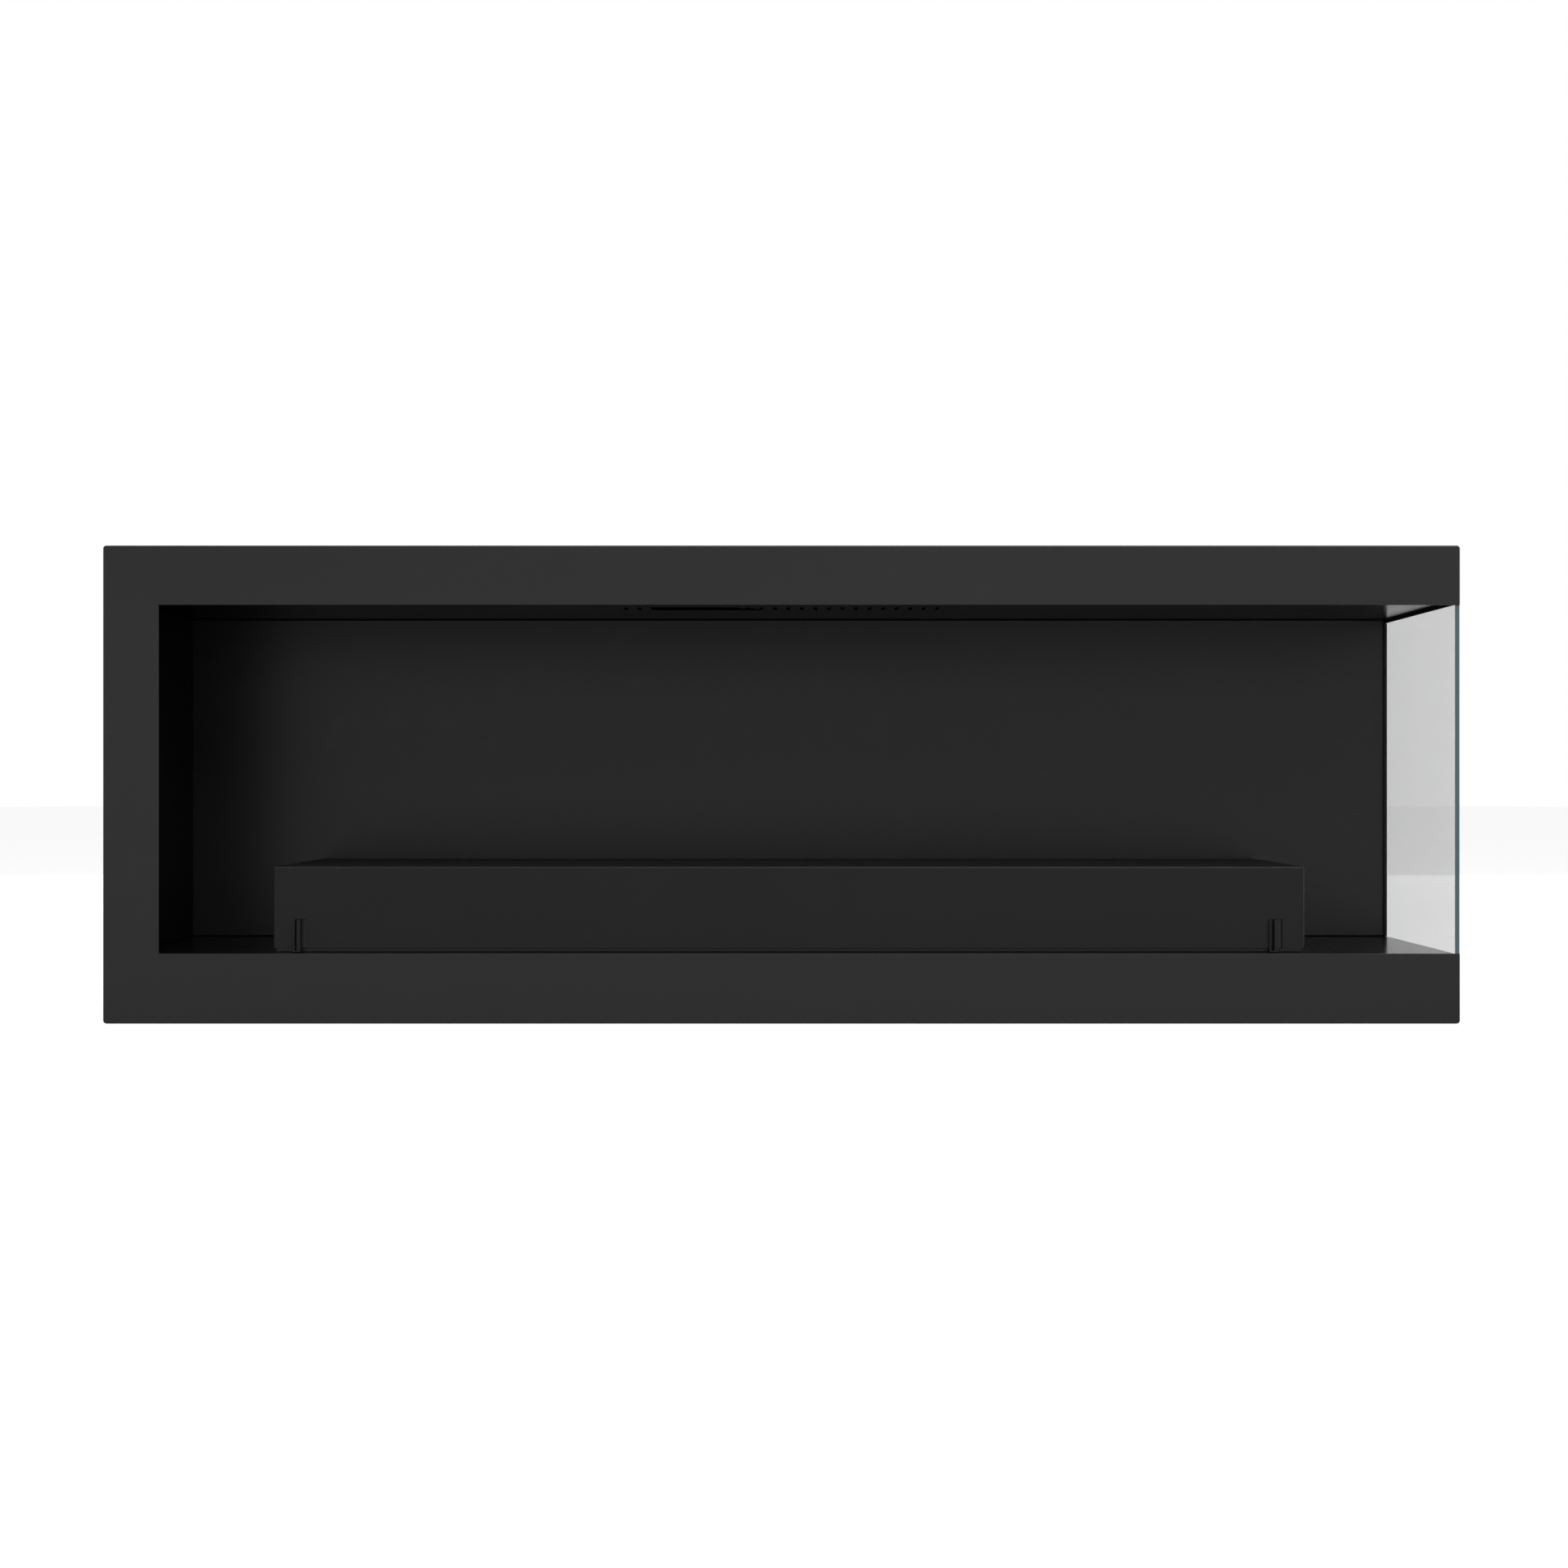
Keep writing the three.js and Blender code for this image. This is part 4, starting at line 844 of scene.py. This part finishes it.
def build_light_bar(node):
    """Extruded rail, a strip of board along its top, and the row of lamps on it towards the mist."""
    dress(node, "aluminium", edge=CUT)
    low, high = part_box(node)
    facing = 1 if middle(node).y < middle("slot_collar").y else -1
    y, half_strip, end_room = middle(node).y, 1.6 * MM, 4 * MM
    strip_low, strip_high = high.z + 0.02 * MM, high.z + 0.5 * MM
    strip = slab(
        (low.x + end_room, y - half_strip, strip_low), (high.x - end_room, y + half_strip, strip_high)
    )
    add_piece(f"{node}_strip", strip, ["ceramic"], body_of(node), slot_of(node), edge=LAID)
    lamp_room = 12 * MM
    pitch = (high.x - low.x - 2 * lamp_room) / (LAMPS - 1)
    profile = [(radius * MM, height * MM) for radius, height in LAMP_PROFILE]
    lamps = [
        turned(profile, LAMP_SIDES, (low.x + lamp_room + index * pitch, y + facing * 0.2 * MM, strip_high))
        for index in range(LAMPS)
    ]
    add_piece(f"{node}_lamps", merged(*lamps), ["lamp"], body_of(node), slot_of(node), edge=MADE)


def build_fan_rotor(node):
    """Hub with a raised rim and swept, twisted blades."""
    low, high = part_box(node)
    centre = (low + high) / 2
    tip, hub = 22.0 * MM, 9.5 * MM
    tall = high.z - low.z
    rim, dish = tall - 0.1 * MM, tall - 0.5 * MM
    profile = [
        (0, 0), (hub, 0), (hub, tall - 1.2 * MM), (hub - 0.5 * MM, tall - 0.4 * MM),
        (hub - 1.4 * MM, rim), (hub - 2.2 * MM, rim), (hub - 2.6 * MM, dish), (0, dish),
    ]
    body = turned(profile, settings("fireplace_stage").sides)
    blades = [
        moved(fan_blade(hub - 0.6 * MM, tip, tall), spin=FULL_TURN * index / FAN_BLADES)
        for index in range(FAN_BLADES)
    ]
    whole = moved(merged(body, *blades), centre.x, centre.y, low.z)
    stand_in(node, whole, ("moulding",), edge=MADE)


def fan_blade(root, tip, tall):
    """One blade, thin, swept forward and flatter towards its tip."""
    shape = bmesh.new()
    spans, chords = 9, 7
    root_pitch, untwist, sweep = 46, 16, 0.20
    root_chord, flare, camber, half_thick = 8.6 * MM, 1.6 * MM, 1.6 * MM, 0.42 * MM
    height = tall / 2 - 0.4 * MM
    grids = []
    for side in (1, -1):
        grid = []
        for i in range(spans):
            out = i / (spans - 1)
            radius = root + (tip - root) * out
            pitch = math.radians(root_pitch - untwist * out)
            row = []
            for j in range(chords):
                along = j / (chords - 1) - 0.5
                offset = along * (root_chord + flare * out)
                rounding = math.sqrt(max(0.0, 1 - (2 * along) ** 2) + 0.02)
                lift = (0.25 - along * along) * camber + side * half_thick * rounding
                across = offset * math.cos(pitch) - lift * math.sin(pitch)
                up = offset * math.sin(pitch) + lift * math.cos(pitch)
                angle = across / radius + sweep * out * out
                row.append(shape.verts.new((radius * math.cos(angle), radius * math.sin(angle), height + up)))
            grid.append(row)
        grids.append(grid)
    for side, grid in enumerate(grids):
        for i in range(spans - 1):
            for j in range(chords - 1):
                face = (grid[i][j], grid[i + 1][j], grid[i + 1][j + 1], grid[i][j + 1])
                shape.faces.new(face if side == 0 else face[::-1])
    front, rear = grids
    for i in range(spans - 1):
        shape.faces.new((front[i][0], rear[i][0], rear[i + 1][0], front[i + 1][0]))
        shape.faces.new((front[i][-1], front[i + 1][-1], rear[i + 1][-1], rear[i][-1]))
    for i in (0, spans - 1):
        for j in range(chords - 1):
            face = (front[i][j], front[i][j + 1], rear[i][j + 1], rear[i][j])
            shape.faces.new(face if i == 0 else face[::-1])
    return shape


def build_float_ring():
    """Foam ring with rounded shoulders and a faint groove round its middle."""
    low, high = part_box("float_ring")
    centre = (low + high) / 2
    radius = (high.x - low.x) / 2
    tall = high.z - low.z
    bore, chamfer = 3.5 * MM, 0.3 * MM
    bend, shoulder = 0.6 * MM, 2 * MM
    section = [
        (bore, chamfer), (bore + chamfer, 0), (radius - shoulder, 0), (radius - bend, bend),
        (radius, shoulder), (radius, tall * 0.46), (radius - 0.4 * MM, tall * 0.5), (radius, tall * 0.54),
        (radius, tall - shoulder), (radius - bend, tall - bend), (radius - shoulder, tall),
        (bore + chamfer, tall), (bore, tall - chamfer),
    ]
    sides = settings("fireplace_stage").sides
    shape = turned(section, sides, (centre.x, centre.y, low.z), closed=True)
    stand_in("float_ring", shape, ("ceramic",), edge=MADE)


def build_water_supply():
    dress("water_tank", "tank", edge=ROUND)
    build_tank_cap()
    dress("feed_pipe", "tank", edge=CUT)


def build_tank_cap():
    """Quarter-turn cap: a ribbed skirt, a dished top and the bar that the fingers turn."""
    low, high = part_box("tank_cap")
    centre = (low + high) / 2
    bar_rise = 1.0 * MM
    tall = high.z - low.z - bar_rise
    radius, inner = 20.0 * MM, 16.5 * MM
    roof, dish = tall - 3 * MM, tall - 0.9 * MM
    profile = [
        (0, roof), (inner, roof), (inner, 0.3 * MM), (inner + 0.3 * MM, 0), (radius, 0),
        (radius, tall - 1.6 * MM), (radius - 0.5 * MM, tall - 0.5 * MM), (radius - 1.6 * MM, tall),
        (radius - 3.0 * MM, tall), (radius - 3.6 * MM, dish), (0, dish),
    ]
    foot, half_rib = 0.4 * MM, 0.75 * MM
    rib_profile = [
        (0, foot), (half_rib, foot), (half_rib, tall - 2.2 * MM), (0.3 * MM, tall - 1.4 * MM),
        (0, tall - 1.3 * MM),
    ]
    rib_reach = radius + 0.2 * MM
    ribs = []
    for index in range(CAP_RIBS):
        angle = FULL_TURN * index / CAP_RIBS
        place = (rib_reach * math.cos(angle), rib_reach * math.sin(angle), 0.0)
        ribs.append(turned(rib_profile, RIB_SIDES, place))
    half_bar = 1.5 * MM
    bar = slab((-inner, -half_bar, tall - 1.2 * MM), (inner, half_bar, tall + 0.9 * MM))
    whole = moved(merged(turned(profile, CAP_SIDES), bar, *ribs), centre.x, centre.y, low.z)
    stand_in("tank_cap", whole, ("moulding",))


def build_electrics():
    dress("power_supply", "zinc", edge=SOFT)
    build_board()
    dress("switch_stand", "zinc", edge=CUT)
    dress("switch_body", "moulding", edge=MOULDED)
    dress("switch_rocker", "moulding", edge=SOFT)


# Heights of the board's lower and upper faces, and where each kind of part on it starts
BOARD_LIFT, BOARD_FACE = 8.0 * MM, 9.6 * MM
HEAT_SINK_X, CONNECTORS_Y, RELAYS_X = 116 * MM, 31 * MM, (66 * MM, 112 * MM)
BOARD_FINISHES = ("board", "brass", "aluminium", "relay", "ceramic", "dark")
# The small parts: how many, where they may start and their two footprints, in millimetres
CHIPS, CHIP_SEED = 26, 7
CHIPS_X, CHIPS_Y, CHIP_SPREAD_X, CHIP_SPREAD_Y = 8, 25, 134, 6
SMALL_CHIP, LARGE_CHIP = (3.2, 1.6), (5.0, 4.0)


def build_board():
    """Circuit board with its parts in their own colours and materials."""
    low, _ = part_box("control_board")
    surface = low.z + BOARD_FACE

    def part_at(face):
        at = face.calc_center_median()
        x, y = at.x - low.x, at.y - low.y
        if at.z < surface + 0.1 * MM:
            return "brass" if at.z < low.z + BOARD_LIFT - 0.2 * MM else "board"
        if x > HEAT_SINK_X:
            return "aluminium"
        if y > CONNECTORS_Y:
            return "ceramic"
        return "relay" if RELAYS_X[0] < x < RELAYS_X[1] else "dark"

    dress(
        "control_board", *BOARD_FINISHES, edge=CUT, paint=lambda face: BOARD_FINISHES.index(part_at(face))
    )
    chips = bmesh.new()
    dice = random.Random(CHIP_SEED)
    for index in range(CHIPS):
        x = low.x + (CHIPS_X + CHIP_SPREAD_X * dice.random()) * MM
        y = low.y + (CHIPS_Y + CHIP_SPREAD_Y * dice.random()) * MM
        wide, deep = SMALL_CHIP if index % 3 else LARGE_CHIP
        slab((x, y, surface + 0.02 * MM), (x + wide * MM, y + deep * MM, surface + 1.2 * MM), chips)
    add_piece("board_small_parts", chips, ["dark"], "casing", "black_moulding", edge=LAID)


# -------------------------------------------------------------------------------------------------
# Fan heater
# -------------------------------------------------------------------------------------------------

ROTOR_ENDS = (-145 * MM, 145 * MM)
ROTOR_DISC = 1.2 * MM
ROTOR_DISCS = (ROTOR_ENDS[0], -72.5 * MM, -0.5 * MM, 71.5 * MM, ROTOR_ENDS[1] - ROTOR_DISC)
ROTOR_BLADES, BLADE_STEPS = 24, 6
DISC_SIDES, SHAFT_SIDES = 48, 32


def build_heater():
    dress("heater_duct", "zinc", edge=CUT)
    dress("heating_element", "ceramic", edge=THIN)
    build_heater_rotor()
    dress("heater_motor", "steel", edge=MOULDED)
    dress("shaft_bearing", "brass", edge=CUT)
    dress("thermal_cutout", "dark", edge=MOULDED)
    # the grille takes the back wall's coat, which is painted lighter as painted light
    dress("outlet_grille", "liner", edge=THIN)


def build_heater_rotor():
    """Cross-flow rotor: many thin curved blades between discs, on a long shaft."""
    low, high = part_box("heater_rotor")
    centre = (low + high) / 2
    radius = (high.z - low.z) / 2 - 0.05 * MM
    parts = []
    for x in ROTOR_DISCS:
        disc = washer(2.4 * MM, radius, 0, ROTOR_DISC, DISC_SIDES)
        turn(disc, (x, centre.y, centre.z), "X")
        parts.append(disc)
    for index in range(ROTOR_BLADES):
        parts.append(rotor_blade(radius, FULL_TURN * index / ROTOR_BLADES, centre))
    thick, chamfered, chamfer = 2.5 * MM, 2.2 * MM, 0.4 * MM
    shaft_profile = [
        (0, low.x), (chamfered, low.x), (thick, low.x + chamfer), (thick, high.x - chamfer),
        (chamfered, high.x), (0, high.x),
    ]
    shaft = turned(shaft_profile, SHAFT_SIDES)
    turn(shaft, (0, centre.y, centre.z), "X")
    for face in shaft.faces:
        face.material_index = 1
    stand_in("heater_rotor", merged(*parts, shaft), ("dark", "steel"), edge=MADE)


def rotor_blade(radius, angle, centre):
    """A thin curved strip along X."""
    shape = bmesh.new()
    outer, deep, half_thick = radius - 0.3 * MM, 3.6 * MM, 0.25 * MM
    lean, bow = 0.16, 0.10
    section = []
    for side, steps in ((1, range(BLADE_STEPS)), (-1, reversed(range(BLADE_STEPS)))):
        for step in steps:
            inward = step / (BLADE_STEPS - 1)
            r = outer - inward * deep
            a = angle + lean * inward + bow * math.sin(inward * math.pi) + side * half_thick / r
            section.append((r * math.cos(a), r * math.sin(a)))
    rings = [[shape.verts.new((x, centre.y + c, centre.z + s)) for c, s in section] for x in ROTOR_ENDS]
    count = len(section)
    for index in range(count):
        after = (index + 1) % count
        shape.faces.new((rings[0][index], rings[0][after], rings[1][after], rings[1][index]))
    shape.faces.new(rings[0][::-1])
    shape.faces.new(rings[1])
    return shape


# -------------------------------------------------------------------------------------------------
# Stage
# -------------------------------------------------------------------------------------------------

FLOOR_REACH = 25.0
BACKDROP_RADIUS = 22.0
KEY_SIZE = (5.0, 1.15)
SENSOR = 36.0
CAMERA_X, CAMERA_BACK, CAMERA_HEIGHT = 0.0022, 2.174, 0.212

# Name, place, width and height in metres, and share of the fill power, of each soft box
SOFT_BOXES = (
    ("overhead_light", (0.0, -0.2, 2.7), (4.0, 3.0), 0.40),
    ("upper_front_light", (0.9, -2.3, 2.3), (2.6, 1.2), 0.14),
    ("left_light", (-3.2, -0.4, 1.0), (2.4, 2.0), 0.13),
    ("right_light", (3.2, -0.4, 1.2), (2.4, 2.0), 0.13),
    ("rear_light", (0.0, 3.2, 1.0), (4.4, 2.0), 0.20),
)


def stage_surface(name, shape, finish_name, **uniform):
    """A surface that shines by itself, and isn't seen in the object's gloss or shade."""
    mesh = bpy.data.meshes.new(name)
    shape.to_mesh(mesh)
    shape.free()
    surface = bpy.data.objects.new(name, mesh)
    bpy.context.scene.collection.objects.link(surface)
    mesh.materials.append(Finish(finish_name, **{"Emission Color": WHITE}, **uniform).material)
    surface.visible_diffuse = False
    surface.visible_glossy = False
    surface.visible_shadow = False


def area_light(name, at, aim, size, power):
    """A soft box, seen only in what it lights."""
    lamp = bpy.data.lights.new(name, "AREA")
    lamp.shape = "RECTANGLE"
    lamp.size, lamp.size_y = size
    lamp.energy = power
    lamp.color = WHITE
    light = bpy.data.objects.new(name, lamp)
    light.location = at
    light.rotation_euler = (Vector(aim) - Vector(at)).to_track_quat("-Z", "Y").to_euler()
    light.visible_camera = False
    light.visible_transmission = False
    bpy.context.scene.collection.objects.link(light)


def build_stage():
    stage = settings("fireplace_stage")
    scene = bpy.context.scene
    scene.view_settings.view_transform = "Standard"
    scene.view_settings.look = "None"

    floor = bmesh.new()
    bmesh.ops.create_grid(floor, x_segments=1, y_segments=1, size=FLOOR_REACH)
    pale = {"Roughness": 0.9, "Specular IOR Level": 0.1, "Base Color": (0.15, 0.15, 0.15)}
    stage_surface("stage_floor", floor, "Pale floor", **pale, **{"Emission Strength": stage.glow})
    ball = bmesh.new()
    bmesh.ops.create_icosphere(ball, subdivisions=4, radius=BACKDROP_RADIUS)
    bright = {"Roughness": 1.0, "Specular IOR Level": 0.0, "Base Color": (0.0, 0.0, 0.0)}
    stage_surface("stage_backdrop", ball, "White backdrop", **bright, **{"Emission Strength": 1.0})

    world = bpy.data.worlds.new("Even light")
    world.use_nodes = True
    background = world.node_tree.nodes["Background"]
    background.inputs["Color"].default_value = tint(WHITE)
    background.inputs["Strength"].default_value = stage.world
    scene.world = world

    low, high = CAD_BOX
    key_place = (0.0, -stage.key_distance, stage.key_height)
    area_light("key_light", key_place, (0.0, 0.0, stage.key_height), KEY_SIZE, stage.key_power)
    for name, at, size, share in SOFT_BOXES:
        area_light(name, at, (low + high) / 2, size, share * stage.fill_power)

    view = bpy.data.cameras.new("camera")
    view.sensor_width = SENSOR
    view.lens = stage.lens
    camera = bpy.data.objects.new("camera", view)
    camera.location = (CAMERA_X, low.y - CAMERA_BACK, CAMERA_HEIGHT)
    camera.rotation_euler = (math.radians(90), 0, 0)
    scene.collection.objects.link(camera)
    scene.camera = camera


# -------------------------------------------------------------------------------------------------
# Add-on
# -------------------------------------------------------------------------------------------------


class FIREPLACE_OT_stage(bpy.types.Operator):
    """Pale floor, soft lights and camera."""

    bl_idname = "fireplace.stage"
    bl_label = "Stage"

    def execute(self, context):
        build_stage()
        return {"FINISHED"}


class FIREPLACE_OT_front_frame(bpy.types.Operator):
    """Three folded bands round the opening."""

    bl_idname = "fireplace.front_frame"
    bl_label = "Front frame"

    def execute(self, context):
        build_front_frame()
        return {"FINISHED"}


class FIREPLACE_OT_casing(bpy.types.Operator):
    """Pans, side panels, back panel, its screws and the inlet."""

    bl_idname = "fireplace.casing"
    bl_label = "Casing"

    def execute(self, context):
        build_casing()
        return {"FINISHED"}


class FIREPLACE_OT_chamber(bpy.types.Operator):
    """Floor, ceiling and walls of the chamber."""

    bl_idname = "fireplace.chamber"
    bl_label = "Chamber"

    def execute(self, context):
        build_chamber()
        return {"FINISHED"}


class FIREPLACE_OT_side_pane(bpy.types.Operator):
    """Clear pane and its bead."""

    bl_idname = "fireplace.side_pane"
    bl_label = "Side pane"

    def execute(self, context):
        build_side_pane()
        return {"FINISHED"}


class FIREPLACE_OT_cover(bpy.types.Operator):
    """Lift-off cover, filling lid and locating fins."""

    bl_idname = "fireplace.cover"
    bl_label = "Cover"

    def execute(self, context):
        build_cover()
        return {"FINISHED"}


class FIREPLACE_OT_tray(bpy.types.Operator):
    """Cassette tray and its screws."""

    bl_idname = "fireplace.tray"
    bl_label = "Tray"

    def execute(self, context):
        build_tray()
        return {"FINISHED"}


class FIREPLACE_OT_mist_unit(bpy.types.Operator):
    """Trough, transducers, light bars, fans and float."""

    bl_idname = "fireplace.mist_unit"
    bl_label = "Mist unit"

    def execute(self, context):
        build_mist_unit()
        return {"FINISHED"}


class FIREPLACE_OT_water_supply(bpy.types.Operator):
    """Tank, cap and feed pipe."""

    bl_idname = "fireplace.water_supply"
    bl_label = "Water supply"

    def execute(self, context):
        build_water_supply()
        return {"FINISHED"}


class FIREPLACE_OT_electrics(bpy.types.Operator):
    """Power supply, board and mains switch."""

    bl_idname = "fireplace.electrics"
    bl_label = "Electrics"

    def execute(self, context):
        build_electrics()
        return {"FINISHED"}


class FIREPLACE_OT_heater(bpy.types.Operator):
    """Duct, element, rotor, motor and grille."""

    bl_idname = "fireplace.heater"
    bl_label = "Fan heater"

    def execute(self, context):
        build_heater()
        return {"FINISHED"}


OPERATORS = (
    FIREPLACE_OT_stage,
    FIREPLACE_OT_front_frame,
    FIREPLACE_OT_casing,
    FIREPLACE_OT_chamber,
    FIREPLACE_OT_side_pane,
    FIREPLACE_OT_cover,
    FIREPLACE_OT_tray,
    FIREPLACE_OT_mist_unit,
    FIREPLACE_OT_water_supply,
    FIREPLACE_OT_electrics,
    FIREPLACE_OT_heater,
)

GROUPS = {
    "fireplace_sheet": FireplaceSheet,
    "fireplace_finishes": FireplaceFinishes,
    "fireplace_stage": FireplaceStage,
}


class FIREPLACE_PT_panel(bpy.types.Panel):
    """Lists the settings and the pieces of the fireplace."""

    bl_label = "Electric Fireplace"
    bl_idname = "FIREPLACE_PT_panel"
    bl_space_type = "VIEW_3D"
    bl_region_type = "UI"
    bl_category = "Fireplace"

    def draw(self, context):
        for group in GROUPS:
            box = self.layout.box()
            values = getattr(context.scene, group)
            for name in values.bl_rna.properties.keys():
                if name not in ("rna_type", "name"):
                    box.prop(values, name)
        for operator in OPERATORS:
            self.layout.operator(operator.bl_idname)


def register():
    for name, group in GROUPS.items():
        bpy.utils.register_class(group)
        setattr(bpy.types.Scene, name, PointerProperty(type=group))
    for operator in OPERATORS:
        bpy.utils.register_class(operator)
    bpy.utils.register_class(FIREPLACE_PT_panel)


def unregister():
    bpy.utils.unregister_class(FIREPLACE_PT_panel)
    for operator in reversed(OPERATORS):
        bpy.utils.unregister_class(operator)
    for name, group in reversed(GROUPS.items()):
        delattr(bpy.types.Scene, name)
        bpy.utils.unregister_class(group)


def main():
    register()
    for operator in OPERATORS:
        getattr(bpy.ops.fireplace, operator.bl_idname.split(".")[1])()


if __name__ == "__main__":
    main()
